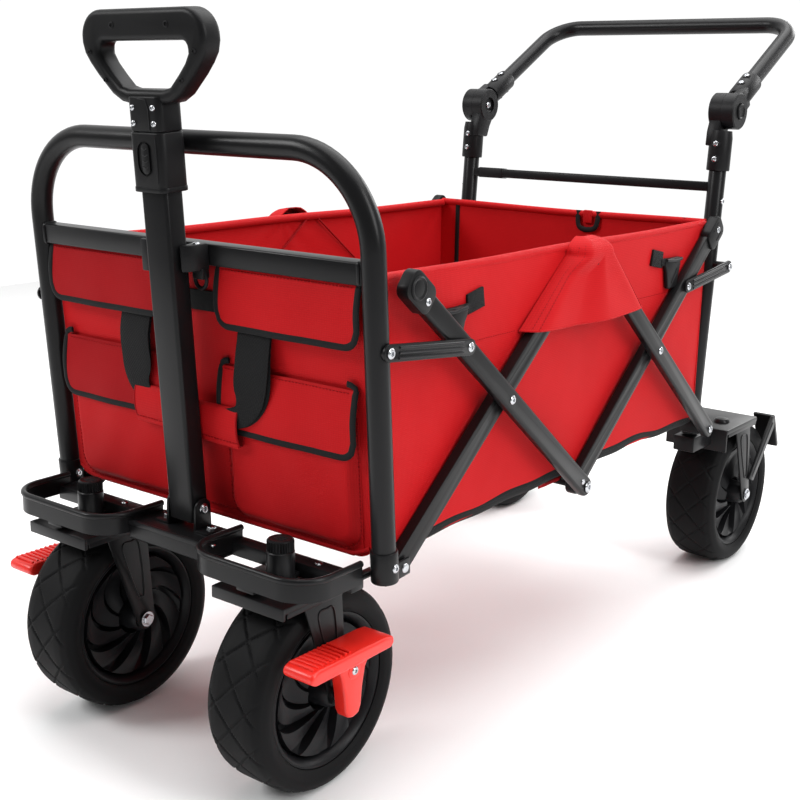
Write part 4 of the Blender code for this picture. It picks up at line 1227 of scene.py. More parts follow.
def axle_bolt(finish: Finish = FINISHES.zinc) -> Piece:
    """A wheel bolt with a domed head and a nut, about the axle."""
    shaft = dowel(0.005, (-0.0508, 0, 0), (0.0508, 0, 0), finish)
    parts = [shaft]
    for side in SIDES.values():
        washer = turning(mm((0, 50.3), (9.2, 50.3), (9.2, 51.4), (0, 51.4)), Axis.Z, finish, 28)
        nut = turning(mm((0, 51.2), (7, 51.2), (7, 53.2), (5.6, 54.3), (0, 54.4)), Axis.Z, finish, 6)
        parts += [moved(piece, (0, 0, 0), side * math.pi / 2, "Y") for piece in (washer, nut)]
    return weld(*parts)


@dataclass
class Caster:
    """A front caster: swivel fork, stem cap, axle bolt and foot brake."""

    side: int
    tag: str
    inside: float = 0.0465
    outside: float = 0.05
    crown_top: float = CROWN_TOP

    def arm(self, side: int, right: float, left: float, foot: Pair, hole: float) -> list[Piece]:
        """A pressed fork arm with a raised border round its sunk middle.

        Args:
            side: 1 for the right arm, -1 for the left.
            right, left: where its top ends along the crown.
            foot: its round foot's middle.
            hole: the radius of the axle's hole, or 0 for none.

        Returns:
            The arm and its border.
        """
        coat = FINISHES.powder_coat
        tilt = math.degrees(math.atan2(foot[1] - self.crown_top, foot[0] - (left + right) / 2))
        ring = [(left, self.crown_top - 0.002), (right, self.crown_top - 0.002),
            *arc(foot, 0.013, tilt + 80, tilt - 80, 14)]
        strip = plate(ring, side * self.inside, side * (self.outside - 0.0008), Axis.X, coat, 0.0008,
            [circle(foot, hole)] if hole else ())
        rim = []
        for share, width in ((0.78, 0.0125), (0.3, 0.0055)):
            cy = foot[0] + ((left + right) / 2 - foot[0]) * share
            cz = foot[1] + (self.crown_top - foot[1]) * share
            rim.append((cy, cz, width))
        (ty, tz, tw), (by, bz, bw) = rim
        border = [(ty + tw, tz), (ty, tz + tw * 0.55), (ty - tw, tz), (by - bw, bz), (by, bz - bw), (by + bw, bz)]
        bead = tube([(side * (self.outside - 0.0006), y, z) for y, z in smooth_ring(border, 5)], 0.0011, coat, 10,
            closed=True)
        return [strip, bead]

    def fork(self) -> None:
        """The crown plate with its folded lip, two arms and the stem."""
        coat = FINISHES.powder_coat
        parts = [
            plate(rounded((-0.0505, -0.05), (0.0505, 0.044), 0.004), CROWN_LOW, CROWN_TOP, Axis.Z, coat, 0.0012),
            block((-0.0505, -0.0507, 0.2248), (0.0505, -0.0466, 0.2384), 0.0014, coat),
            dowel(0.008, (0, 0, 0.235), (0, 0, 0.2745), coat, 0.0005),
            turning(mm((8.5, 238.3), (20, 238.3), (18.5, 240.5), (16, 241.2), (8.5, 241.2)), Axis.Z, coat, 40),
        ]
        for side in SIDES.values():
            parts += self.arm(side, 0.04, -0.02, (0.036, AXLE_Z), 0.0053)
            parts.append(block((side * 0.0492, -0.044, 0.2262), (side * 0.0504, 0.04, 0.233), 0.0005, coat))
        settle(weld(*parts), f"fork_{self.tag}", self.place(), f"caster_{self.tag}", "black_frame",
            f"caster_fork_{self.tag}")

    def place(self) -> Matrix:
        """The caster's swivel axis in the frame."""
        return lean((self.side * CASTER_X, -0.05, 0))

    def cap(self) -> None:
        """The knurled stem cap."""
        teeth = []
        for i in range(60):
            radius, turn = 0.0144 if i % 2 else 0.0134, math.tau * i / 60
            teeth.append((radius * math.cos(turn), radius * math.sin(turn)))
        body = plate(teeth, 0.275, 0.2858, Axis.Z, FINISHES.nylon, 0.0)
        top = turning(mm((0, 285.5), (13.6, 285.5), (13.2, 286.8), (11.6, 287.6), (10, 287.2), (0, 286.8)), Axis.Z,
            FINISHES.nylon, 40)
        mark = [tube([(-0.007, y, 0.2871), (0.007, y, 0.2871)], 0.0006, FINISHES.nylon, 8)
            for y in (-0.004, 0.0, 0.004)]
        settle(weld(body, top, *mark), f"stem_cap_{self.tag}", self.place(), f"caster_{self.tag}", "black_plastic",
            f"caster_cap_{self.tag}")

    def pedal(self) -> None:
        """The red brake: a ridged plate with round ends on a shank with hollowed sides."""
        red, s = FINISHES.pedal, self.side
        near, far = 0.0508, 0.0918
        ring = mm((-86.5, 22.5), (-80, 17), (-30, 16.5), (40, 16.5), (45.2, 21.5), (44, 29), (30, 31.2), (-76, 33),
            (-84.5, 30))
        tread = plate(ring, s * near, s * far, Axis.X, red, 0.004, segments=4)
        ridges = []
        for step in range(9):
            y = -0.0775 + 0.0068 * step
            ridges.append(tube([(s * (near + 0.005), y, 0.0328), (s * (near + 0.009), y, 0.0334),
                (s * (far - 0.009), y, 0.0334), (s * (far - 0.005), y, 0.0328)], 0.0017, red, 10))
        shank_ring = mm((-46, 18.5), (-28, 12), (-18.5, -2), (-14, -22), (-11.5, -44), (-7.5, -52.5), (0, -54),
            (8.5, -52.5), (12.5, -44), (15, -22), (19.5, -2), (29, 12), (40, 18.5))
        shank = plate(shank_ring, s * 0.0556, s * 0.0735, Axis.X, red, 0.0032, segments=3)
        hub = dowel(0.0095, (s * 0.0508, 0, 0), (s * 0.0745, 0, 0), red, 0.0012)
        pin = rivet((s * 0.0744, 0, 0), (s, 0, 0), 0.0046, 0.0018)
        place = lean((s * CASTER_X, -0.018, 0.15))
        settle(weld(tread, shank, hub, pin, *ridges), f"foot_brake_{self.tag}", place, f"pedal_{self.tag}", "red_pedal",
            f"brake_pedal_{self.tag}")

    def build(self) -> None:
        """Makes the caster's pieces."""
        self.fork()
        self.cap()
        bolt = axle_bolt()
        settle(bolt, f"front_bolt_{self.tag}", lean((self.side * CASTER_X, -0.014, AXLE_Z)), f"caster_{self.tag}",
            "steel", f"front_axle_{self.tag}")
        self.pedal()


def bend_through(corners: Sequence[Vector], steps: int) -> list[tuple[float, ...]]:
    """Points of a smooth bend from the second corner towards the third.

    Args:
        corners: four corners in a row.
        steps: how many points to give.

    Returns:
        The points, without the last one.
    """
    p0, p1, p2, p3 = corners
    square, cube = 2 * p0 - 5 * p1 + 4 * p2 - p3, 3 * p1 - p0 - 3 * p2 + p3
    shares = [step / steps for step in range(steps)]
    return [tuple(0.5 * (2 * p1 + (p2 - p0) * t + square * t * t + cube * t ** 3)) for t in shares]


def smooth_ring(corners: Sequence[Pair], steps: int) -> list[Pair]:
    """A closed ring through corners, rounded like a loop of cord."""
    count, out = len(corners), []
    for i in range(count):
        out += bend_through([Vector(corners[(i + k) % count]) for k in (-1, 0, 1, 2)], steps)
    return out


def smooth_line(corners: Sequence[Triple], steps: int) -> list[Triple]:
    """An open line through corners, rounded like a hanging strap."""
    points = [Vector(corners[0]), *(Vector(c) for c in corners), Vector(corners[-1])]
    out = []
    for i in range(1, len(points) - 2):
        out += bend_through(points[i - 1 : i + 3], steps)
    return [*out, tuple(corners[-1])]


# ---- rear frame ----
RIVET_SEAT = mm((0, 0), (6.4, 0), (5.8, 2.2), (0, 2.2))


@dataclass
class RearFrame:
    """The uprights, cross bar and sockets behind the basket."""

    half: float = 0.218
    foot: float = -0.0225
    head: float = 0.4226
    bar_z: float = 0.3461
    pivot: Pair = (-0.0256, -0.006)
    link_z: float = 0.2327
    drum: Pair = (0.0131, 0.4557)

    def uprights(self) -> None:
        """Both uprights with the cross bar, its sleeve, the pivot lugs and the link studs."""
        coat, steel = FINISHES.powder_coat, FINISHES.zinc
        bar = block((-self.half, -0.007, self.bar_z - 0.007), (self.half, 0.007, self.bar_z + 0.007), 0.0022, coat, 3)
        sleeve = block((-0.198, -0.0082, self.bar_z - 0.0082), (-0.15, 0.0082, self.bar_z + 0.0082), 0.0022,
            FINISHES.nylon, 3)
        parts = [bar, sleeve]
        y, z = self.pivot
        for side in SIDES.values():
            x = side * self.half
            parts.append(dowel(TUBE_R, (x, 0, self.foot), (x, 0, self.head), coat, 0.0006))
            parts.append(block((x, y - 0.0105, z - 0.009), (side * 0.2483, 0.0, z + 0.009), 0.0016, coat))
            parts.append(crosswise(PIN_R, side, 0.2358, 0.262, (y, z), steel))
            parts.append(rivet((side * 0.2612, y, z), (side, 0, 0), 0.0055))
            parts.append(crosswise(PIN_R, side, 0.228, 0.2535, (0, self.link_z), steel))
            parts.append(crosswise(0.0065, side, 0.227, 0.248, (0, self.link_z), coat, 0.0006))
            parts.append(rivet((side * 0.253, 0, self.link_z), (side, 0, 0), 0.0052))
            parts.append(rivet((side * (self.half + 0.0122), 0, self.bar_z - 0.02), (side, 0, 0), 0.004))
        settle(weld(*parts), "uprights", REAR, Body.REAR, "black_frame", "rear_frame")

    def socket(self, tag: str, side: int) -> None:
        """The fixed half of a push-bar joint: a riveted sleeve and half a drum."""
        nylon, centre = FINISHES.nylon, side * self.half
        y, z = self.drum
        start, top = 0.3697, z - 0.029
        sleeve = turning([(0.0129, start), (0.016, start), (0.0167, start + 0.002), (0.0165, top - 0.01), (0.015, top),
            (0.0129, top)], Axis.Z, nylon, 40)
        moved(sleeve, (centre, 0, 0))
        near, far = 0.1985, 0.21785
        drum = turning([(0.0, near), (0.0245, near), (0.026, near + 0.0015), (0.026, far), (0.0, far)], Axis.X, nylon,
            56)
        moved(left_handed(drum, side), (0, y, z))
        saw_out(drum, dowel(0.0125, (side * (near - 0.004), y, z), (side * (near + 0.0035), y, z), nylon))
        cheek = [(-0.014, top - 0.022), (0.015, top - 0.022), (0.0205, top - 0.004), (y + 0.022, z - 0.006),
            (y - 0.02, z - 0.01), (-0.0135, top - 0.002)]
        neck = plate(cheek, side * 0.2, side * 0.2175, Axis.X, nylon, 0.002)
        screw = screw_head((side * 0.202, y, z), (-side, 0, 0), 0.005)
        ribs = [plate([(-0.0163, start + s), (0.0163, start + s), (0.0163, start + s + 0.0035),
            (-0.0163, start + s + 0.0035)], centre - 0.0032, centre + 0.0032, Axis.X, nylon, 0.0008)
            for s in (0.008, 0.02)]
        heads = []
        for s, out in ((0.016, 1), (0.038, 1), (0.016, -1), (0.038, -1)):
            seat = moved(turning(RIVET_SEAT, Axis.Z, nylon, 24), (centre, out * 0.015, start + s), -out * math.pi / 2)
            heads += [seat, rivet((centre, out * 0.0171, start + s), (0, out, 0), 0.0038, 0.0015)]
        body = weld(sleeve, drum, neck, screw, *ribs, *heads)
        settle(body, f"lower_joint_{tag}", REAR, Body.REAR, "black_plastic", f"joint_socket_{tag}")

    def build(self) -> None:
        """Makes the uprights and both sockets."""
        self.uprights()
        for tag, side in SIDES.items():
            self.socket(tag, side)


@dataclass
class PushBar:
    """The tilting push bar with its half drums and lock buttons."""

    half: float = 0.218
    reach: float = 0.2726
    corner: float = 0.05

    def bar(self) -> None:
        """The U-shaped tube."""
        bend = arc((self.half - self.corner, self.reach - self.corner), self.corner, 0, 90, 16)
        right = [(self.half, 0.0395), *bend]
        path = [(x, y, 0.0) for x, y in right] + [(-x, y, 0.0) for x, y in reversed(right)]
        settle(tube(path, TUBE_R, FINISHES.powder_coat, 32), "push_tube", PUSH, Body.PUSH, "black_frame", "push_bar")

    def joint(self, tag: str, side: int) -> None:
        """The turning half of a joint: half a drum and a riveted sleeve."""
        nylon, centre = FINISHES.nylon, side * self.half
        near, far = 0.21815, 0.2375
        drum = turning([(0.0116, near + 0.0085), (0.0116, far - 0.0012), (0.0128, far), (0.0245, far),
            (0.026, far - 0.0015), (0.026, near), (0.004, near), (0.004, near + 0.0085)], Axis.X, nylon, 56)
        left_handed(drum, side)
        sleeve = turning(mm((12.9, 34.5), (14.8, 34.5), (16.5, 40), (16.5, 86), (15.5, 88), (12.9, 88)), Axis.Z, nylon,
            40)
        moved(sleeve, (centre, 0, 0), -math.pi / 2)
        cheek = mm((6, -23.5), (26, -16), (45, -15), (45, 15), (26, 16), (6, 23.5))
        neck = plate(cheek, side * 0.2184, side * 0.233, Axis.X, nylon, 0.002)
        saw_out(neck, dowel(0.013, (centre, 0.0385, 0), (centre, 0.06, 0), nylon))
        saw_out(neck, crosswise(0.015, side, 0.21, 0.25, (0, 0), nylon))
        heads = []
        for s in (0.055, 0.076):
            for out in (1, -1):
                turn = 0.0 if out > 0 else math.pi
                seat = moved(turning(RIVET_SEAT, Axis.Z, nylon, 24), (centre, s, out * 0.015), turn)
                heads += [seat, rivet((centre, s, out * 0.0171), (0, 0, out), 0.0038, 0.0015)]
        settle(weld(drum, sleeve, neck, *heads), f"upper_joint_{tag}", PUSH, Body.PUSH, "black_plastic",
            f"joint_disc_{tag}")
        profile = mm((0, 232.8), (10.9, 232.8), (10.9, 239.2), (9.8, 240.3), (8.5, 239.8), (7.5, 239), (0, 238.8))
        knob = left_handed(turning(profile, Axis.X, nylon, 40), side)
        settle(knob, f"lock_button_{tag}", PUSH, f"joint_button_body_{tag}", "black_plastic", f"joint_button_{tag}")

    def build(self) -> None:
        """Makes the bar and both joints."""
        self.bar()
        for tag, side in SIDES.items():
            self.joint(tag, side)


@dataclass
class RearBracket:
    """The fixed fork of a rear wheel, with the upright's seat and the standing foot."""

    side: int
    tag: str

    def build(self) -> None:
        """Makes the bracket, its axle bolt and its foot."""
        coat, s = FINISHES.powder_coat, self.side
        fork = Caster(s, self.tag)
        parts = [
            plate(rounded((-0.0505, -0.097), (0.0505, 0.02), 0.004), CROWN_LOW, CROWN_TOP, Axis.Z, coat, 0.0012),
            block((-0.05, -0.0975, 0.2035), (0.05, -0.0935, 0.2375), 0.0014, coat),
        ]
        seat_x, seat_y = s * 0.008, REAR_FOOT_Y - REAR_AXLE_Y
        parts.append(block((seat_x - 0.0168, seat_y - 0.02, 0.2122), (seat_x + 0.0168, -0.0945, 0.2356), 0.002, coat))
        dome = mm((0, 237.8), (12.5, 237.8), (12, 241.5), (9.5, 244.3), (5, 245.3), (0, 245.5))
        parts.append(moved(turning(dome, Axis.Z, coat, 32), (s * 0.02, -0.05, 0)))
        for each in SIDES.values():
            parts += fork.arm(each, -0.005, -0.06, (0.0, AXLE_Z), 0.0)
            parts.append(block((each * 0.0492, -0.09, 0.2262), (each * 0.0504, 0.016, 0.233), 0.0005, coat))
        parts.append(moved(axle_bolt(), (0, 0, AXLE_Z)))
        arm = mm((0, 140), (18, 132), (88, 206), (90.5, 221.5), (86, 227.5), (78, 227.5))
        parts.append(plate(arm, s * 0.0492, s * 0.0534, Axis.X, coat, 0.001))
        parts.append(tube([(s * 0.0534, y, z) for y, z in ((0.01, 0.1415), (0.05, 0.184), (0.08, 0.2165))], 0.0014,
            coat, 10))
        tab = mm((81.5, 227), (108.5, 170), (112.5, 171.2), (113.5, 174.5), (90.5, 225.5), (86.5, 228.5))
        parts.append(plate(tab, s * 0.0185, s * 0.0532, Axis.X, coat, 0.0009))
        place = lean((s * REAR_WHEEL_X, REAR_AXLE_Y, 0))
        settle(weld(*parts), f"rear_fork_{self.tag}", place, Body.REAR, "black_frame", f"rear_bracket_{self.tag}")


# ---- scissor frame ----
@dataclass
class Scissors:
    """The crossed bars of both sides, with their end fittings and short links."""

    front_y: float = 0.03
    span: float = 0.365
    low: float = 0.256
    high: float = 0.549
    inner_x: float = 0.2355
    outer_x: float = 0.249
    thick: float = 0.012

    def __post_init__(self) -> None:
        """Works out the bars' length and tilt."""
        rise = self.high - self.low
        self.length = math.hypot(self.span, rise)
        self.tilt = math.atan2(rise, self.span)

    def bar(self, start: float, end: float, side: int, near: float, holes: Sequence[Pair]) -> Piece:
        """A flattened tube with rounded edges, round ends and holes."""
        ring = stadium(start, end, 0.0248, 14)
        return plate(ring, side * (near + 0.0001), side * (near + self.thick - 0.0001), Axis.X, FINISHES.powder_coat,
            0.0034,
                     [circle((at, 0), radius) for at, radius in holes], 3)

    def stud(self, at: float, side: int, head: bool = True) -> list[Piece]:
        """A pivot pin between an outer and an inner bar, with its rivet head outside."""
        x_in, x_out = side * (self.inner_x + 0.0004), side * (self.outer_x + self.thick)
        return [
            dowel(PIN_R, (x_in, at, 0), (side * (self.outer_x + 0.004), at, 0), FINISHES.zinc),
            *([rivet((x_out - side * 0.0003, at, 0), (side, 0, 0), 0.0052)] if head else []),
            dowel(0.0078, (side * (self.inner_x + self.thick + 0.0002), at, 0), (side * (self.outer_x + 0.0005), at, 0),
            FINISHES.nylon),
        ]

    def elbow(self, at: float, inward: int, side: int, near: float, disc: bool) -> Piece:
        """The plastic fitting over a bar's top end.

        Args:
            at: the bar end's place along the bar.
            inward: 1 or -1, the way along the bar to its middle.
            side: 1 for the right, -1 for the left.
            near: the bar's inner face, from the wagon's middle.
            disc: it has a round cap over its pivot.

        Returns:
            The fitting.
        """
        nylon = FINISHES.nylon
        ring = [(at + inward * 0.007 + a, b) for a, b in rounded((-0.023, -0.0165), (0.023, 0.0165), 0.0105, 8)]
        body = plate(ring, side * (near + 0.0004), side * (near + self.thick + 0.0029), Axis.X, nylon, 0.0018)
        strip = stadium(*sorted((at, at + inward * 0.1)), 0.0254, 14)
        saw_out(body, plate(strip, side * (near - 0.002), side * (near + self.thick + 0.0004), Axis.X, nylon))
        face = side * (near + self.thick + 0.0026)
        parts = [body]
        if disc:
            hub = turning(mm((0, 0), (12.5, 0), (12.5, 1.2), (11, 2), (8.5, 1), (6, 1.6), (0, 1.6)), Axis.Z, nylon, 40)
            parts.append(moved(hub, (face, at, 0), side * math.pi / 2, "Y"))
            parts.append(rivet((face, at + inward * 0.022, -0.002), (side, 0, 0), 0.0042, 0.0016))
        else:
            for b in (-0.0085, 0.0085):
                parts.append(tube([(face, at - 0.012, b), (face, at + 0.006, b)], 0.0011, nylon, 8))
            parts.append(rivet((face, at, 0), (side, 0, 0), 0.0045, 0.0016))
        return weld(*parts)

    def link(self, name: str, place: Matrix, body: Body, side: int, near: float, length: float, node: str) -> None:
        """A short ribbed link with a rivet at its far end.

        Args:
            name: the piece's name.
            place: its pivot in the frame, turned along the link.
            body: the body that it rides on.
            side: 1 for the right, -1 for the left.
            near: its inner face, from the wagon's middle.
            length: from rivet to rivet.
            node: the node that it stands for.
        """
        coat = FINISHES.powder_coat
        strip = plate(stadium(0.0, length, 0.0178, 12), side * near, side * (near + 0.0034), Axis.X, coat, 0.0008,
            [circle((0, 0), PIN_HOLE_R)])
        face = side * (near + 0.0032)
        ribs = [tube([(face, 0.014, b), (face, length - 0.014, b)], 0.0016, coat, 10) for b in (-0.0052, 0.0, 0.0052)]
        head = rivet((face, length, 0), (side, 0, 0), 0.0052, 0.0018)
        settle(weld(strip, *ribs, head), name, place, body, "black_frame", node)

    def build(self) -> None:
        """Makes every bar, fitting, link and the cross rod."""
        half, L = self.length / 2, self.length
        mid_y, rear_y = self.front_y + self.span, self.front_y + 2 * self.span
        cross_z = (self.low + self.high) / 2
        pin, rod_hole = PIN_HOLE_R, 0.0053
        rear_outer = lean((0, rear_y, self.low), math.pi - self.tilt)
        front_inner = lean((0, mid_y, self.high), math.pi + self.tilt)
        rear_inner = lean((0, mid_y + self.span / 2, cross_z), self.tilt)
        front_outer = lean((0, self.front_y + self.span / 2, cross_z), -self.tilt)
        drop = 0.1139 / L
        seat_z = self.high - (self.high - self.low) * drop
        front_link_y = -math.tan(FRONT_LEAN) * (LINK_Z - 0.2525)
        rear_link_y = REAR_FOOT_Y + math.tan(-REAR_LEAN) * (LINK_Z - 0.26)
        front_run = (self.front_y + self.span * drop - front_link_y, seat_z - LINK_Z)
        rear_run = (rear_y - self.span * drop - rear_link_y, seat_z - LINK_Z)
        for tag, side in SIDES.items():
            spot = rivet((side * (self.outer_x + self.thick - 0.0002), half - 0.0145, 0), (side, 0, 0), 0.0034, 0.0014,
                False)
            bars = (
                ("rear_outer", rear_outer, Body.REAR_OUTER, 0, L, self.outer_x, [(0, pin)],
                 [*self.stud(half, side), *self.stud(L, side, False)]),
                ("front_inner", front_inner, Body.FRONT_INNER, 0, L, self.inner_x, [(0, pin), (half, pin), (L, pin)],
                []),
                ("rear_inner", rear_inner, Body.REAR_INNER, -half, half, self.inner_x, [(0, pin), (-half, rod_hole)],
                []),
                ("front_outer", front_outer, Body.FRONT_OUTER, -half, half, self.outer_x, [(half, rod_hole)],
                 [*self.stud(0, side), spot]),
            )
            for name, place, body, start, end, near, holes, extras in bars:
                bar = weld(self.bar(start, end, side, near, holes), *extras)
                settle(bar, f"{name}_strut_{tag}", place, body, "black_frame", f"{name}_bar_{tag}")
            settle(self.elbow(-half, 1, side, self.outer_x, True), f"elbow_{tag}", front_outer, Body.FRONT_OUTER,
                "black_plastic", f"front_elbow_{tag}")
            settle(self.elbow(half, -1, side, self.inner_x, False), f"top_collar_{tag}", rear_inner, Body.REAR_INNER,
                "black_plastic", f"rear_collar_{tag}")
            place = lean((0, front_link_y, LINK_Z), math.atan2(front_run[1], front_run[0]))
            self.link(f"front_strap_link_{tag}", place, Body.FRONT_LINKS, side, 0.2633, math.hypot(*front_run),
                f"front_link_{tag}")
            place = lean((0, rear_link_y, LINK_Z), math.atan2(rear_run[1], rear_run[0]))
            self.link(f"rear_strap_link_{tag}", place, Body.REAR_LINKS, side, 0.2486, math.hypot(*rear_run),
                f"rear_link_{tag}")
        rod = dowel(0.005, (-0.2622, mid_y, self.low), (0.2622, mid_y, self.low), FINISHES.powder_coat, 0.0008)
        ends = [rivet((side * 0.2618, mid_y, self.low), (side, 0, 0), 0.0072, 0.0024) for side in SIDES.values()]
        settle(weld(rod, *ends), "basket_rod", WAGON, Body.REAR_INNER, "black_frame", "cross_rod")


# ---- basket ----
def seam(points: Sequence[Triple], outward: Triple, pitch: float = 0.0046, length: float = 0.003,
        thick: float = 0.0006) -> Piece:
    """A row of stitches along a line.

    Args:
        points: the line that they follow, on the cloth.
        outward: the way the cloth faces.
        pitch, length: the stitches' spacing and length.
        thick: the thread's half thickness.

    Returns:
        One mesh of short rounded stitches, a few faces each.
    """
    line = [Vector(p) for p in points]
    lengths = running(line)
    up = Vector(outward).normalized()
    verts, faces = [], []
    at, i = 0.0, 0
    while at + length < lengths[-1]:
        while lengths[i + 1] < at:
            i += 1
        share = (at - lengths[i]) / (lengths[i + 1] - lengths[i])
        start = line[i].lerp(line[i + 1], share)
        along = (line[i + 1] - line[i]).normalized()
        side = along.cross(up).normalized() * thick
        base = len(verts)
        for t, lift in ((0.0, 0.2), (0.25, 1.0), (0.75, 1.0), (1.0, 0.2)):
            p = start + along * (length * t)
            low, high = p - up * thick * 0.6, p + up * thick * lift
            verts += [low - side, low + side, high + side * 0.5, high - side * 0.5]
        for k in range(3):
            for m in range(4):
                n = (m + 1) % 4
                faces.append((base + k * 4 + m, base + k * 4 + n, base + (k + 1) * 4 + n, base + (k + 1) * 4 + m))
        faces += [(base + 3, base + 2, base + 1, base), tuple(base + 12 + m for m in range(4))]
        at += pitch
    return from_points(verts, faces, FINISHES.thread)


@dataclass
class SideWall:
    """A side of the basket: cloth with a rolled hem, a pleat over the bars' top joint, seams and binding."""

    side: int
    tag: str
    middle: float = 0.395
    pleat_base: float = 0.47

    def __post_init__(self) -> None:
        """Fixes the folds' places, the same in each run."""
        maker = random.Random(11 + self.side)
        self.folds = [(maker.uniform(0.05, 0.95), maker.uniform(0.0, 1.0), maker.uniform(0.02, 0.05),
            maker.uniform(-1, 1)) for _ in range(26)]

    def ends(self, z: float) -> Pair:
        """Where the wall starts and ends along the wagon at a height."""
        front = 0.0075 - (z - 0.2525) * math.tan(FRONT_LEAN)
        return front, REAR_WALL_Y + 0.0016

    def depth(self, u: float, v: float) -> float:
        """How far in from the bars' plane the cloth lies: drawn tight at its rim, slack between."""
        slack = math.sin(math.pi * min(max(u, 0.0), 1.0)) ** 0.5
        body = 0.0016 + 0.005 * math.sin(math.pi * v) ** 0.8 * (0.45 + 0.55 * math.sin(2 * math.pi * u) ** 2) * slack
        for fu, fv, wide, high in self.folds:
            far = ((u - fu) * 2.6) ** 2 + ((v - fv + (u - fu) * 1.2)) ** 2
            body += 0.0009 * high * math.exp(-far / (wide * 1.6))
        # Soft drags fan out from the corners, where the cloth is held.
        for cu, cv in ((0.0, 1.0), (1.0, 1.0), (0.5, 1.0), (0.0, 0.0), (1.0, 0.0)):
            far = math.hypot((u - cu) * 2.5, v - cv)
            angle = math.atan2(v - cv, (u - cu) * 2.5)
            body += 0.0008 * math.sin(angle * 9) * math.exp(-far * 3.2)
        return max(body, 0.0009)

    def wall_point(self, u: float, v: float) -> Triple:
        """A point of the cloth: u runs from the front to the rear, v from the bottom to the hem."""
        sag = 0.004 * math.sin(math.pi * u) * (1 - v) ** 3
        z = BASKET_BOTTOM + 0.001 + (BASKET_TOP - BASKET_BOTTOM - 0.006) * v + sag
        front, rear = self.ends(z)
        x = BASKET_HALF - self.depth(u, v)
        return self.side * x, front + (rear - front) * u, z

    def hem(self) -> Piece:
        """The rolled top hem, a soft tube of cloth that dips between its fixings."""
        path = []
        for i in range(61):
            u = i / 60
            _, y, z = self.wall_point(u, 1.0)
            path.append((self.side * (BASKET_HALF - 0.0056), y, z - 0.0012 - 0.0015 * math.sin(math.pi * 2 * u) ** 2))
        return tube(path, 0.0054, FINISHES.canvas, 18)

    def hood_half(self, z: float) -> float:
        """The hood's half width at a height, wide enough for the bars under it."""
        slope, peak, apex = 1.2457, 0.549, 0.034
        if z <= peak:
            return apex + (peak - z) * slope
        share = min(1.0, (z - peak) / 0.02)
        return apex * (1 - 0.62 * share ** 2.2)

    def hood_point(self, u: float, v: float) -> Triple:
        """A point of the hood, drawn tight over the bars: u runs along the wagon, v up to the hem."""
        across = 2 * u - 1
        z = self.pleat_base + (0.569 - self.pleat_base) * v
        half = self.hood_half(z)
        # Under the front half lies the inner bar, under the rear half the outer one.
        rearward = eased((across + 0.3) / 0.5)
        fold = 1 - abs(across) ** (11 + 9 * rearward)
        lifted = min(1.0, max(0.0, (z - 0.55) / 0.019))
        top = 0.28 + 0.72 * math.sqrt(max(0.0, 1 - lifted * lifted))
        reach = (0.0205 + 0.0095 * max(rearward, eased((v - 0.55) / 0.25))) * fold * top
        ripple = 0.0008 * math.sin(across * 6 + v * 5) * (1 - v) * fold
        sag = 0.0035 * (1 - v) ** 2 * math.cos(across * math.pi / 2)
        return self.side * (BASKET_HALF - 0.0012 + reach + ripple), self.middle + across * half, z - sag

    def hood(self) -> Piece:
        """The soft triangular hood over the bars' top joint."""
        return cloth_sheet(self.hood_point, 72, 44, (0.27, 0.1), FINISHES.canvas, 0.0014, 0.0)

    def pleat(self) -> list[Piece]:
        """The hood's lip, the double seams along its slopes and the same fold's seams inside the wall."""
        edge = [self.hood_point(i / 60, 0.0) for i in range(61)]
        lip = tube([(x, y, z + 0.0004) for x, y, z in edge], 0.0013, FINISHES.canvas, 10)
        out, rows = (self.side, 0, 0), []
        for share in (0.03, 0.06, 0.94, 0.97):
            line = [self.hood_point(share, i / 30 * 0.93) for i in range(31)]
            rows.append(seam([(x + self.side * 0.001, y, z) for x, y, z in line], out))
        # The same fold shows on the wall's inside as two slanting seams, in the darker canvas that is painted shade for
        # the basket's inside.
        for way in (-1, 1):
            inner = [(self.side * (BASKET_HALF - 0.0085), self.middle + 0.03 + way * (0.008 + 0.088 * i / 20),
                0.556 - 0.068 * i / 20) for i in range(21)]
            rows.append(tube(inner, 0.0014, FINISHES.painted_shade_canvas, 8))
        return [lip, *rows]

    def seams(self) -> list[Piece]:
        """The stitched joins across the wall and under its hem."""
        out, rows = (self.side, 0, 0), []
        for v, start, end in ((0.7, 0.02, 0.35), (0.7, 0.7, 0.985)):
            line = []
            for i in range(41):
                x, y, z = self.wall_point(start + (end - start) * i / 40, v)
                line.append((x + self.side * 0.0008, y, z))
            rows.append(seam(line, out))
        return rows

    def binding(self) -> Piece:
        """The black tape along the bottom edge, wavy where the floor cloth pulls it."""
        path = []
        for i in range(81):
            u = i / 80
            _, y, z = self.wall_point(u, 0.0)
            wave = 0.0022 * math.sin(u * 19) * eased((u - 0.55) / 0.2) + 0.001 * math.sin(u * 43)
            path.append((self.side * (BASKET_HALF - 0.003), y, z + 0.003 + wave))
        section = [(0.0024 * math.cos(t), 0.0062 * math.sin(t)) for t in (math.tau * i / 14 for i in range(14))]
        return sweep(path, section, (self.side, 0, 0), FINISHES.tape)

    def buckle(self, y: float, z: float, toward: int) -> Piece:
        """A strap with a side-release buckle and a tab, flat against the cloth."""
        s, tape, nylon = self.side, FINISHES.webbing, FINISHES.nylon
        x0 = s * (BASKET_HALF - 0.002)

        def flat(corners: Sequence[Pair], height: float, finish: Finish, round_over: float) -> Piece:
            """A flat piece that lies on the cloth."""
            ring = [(y + toward * a, z + b) for a, b in corners]
            return plate(ring, x0, s * (BASKET_HALF + height), Axis.X, finish, round_over)

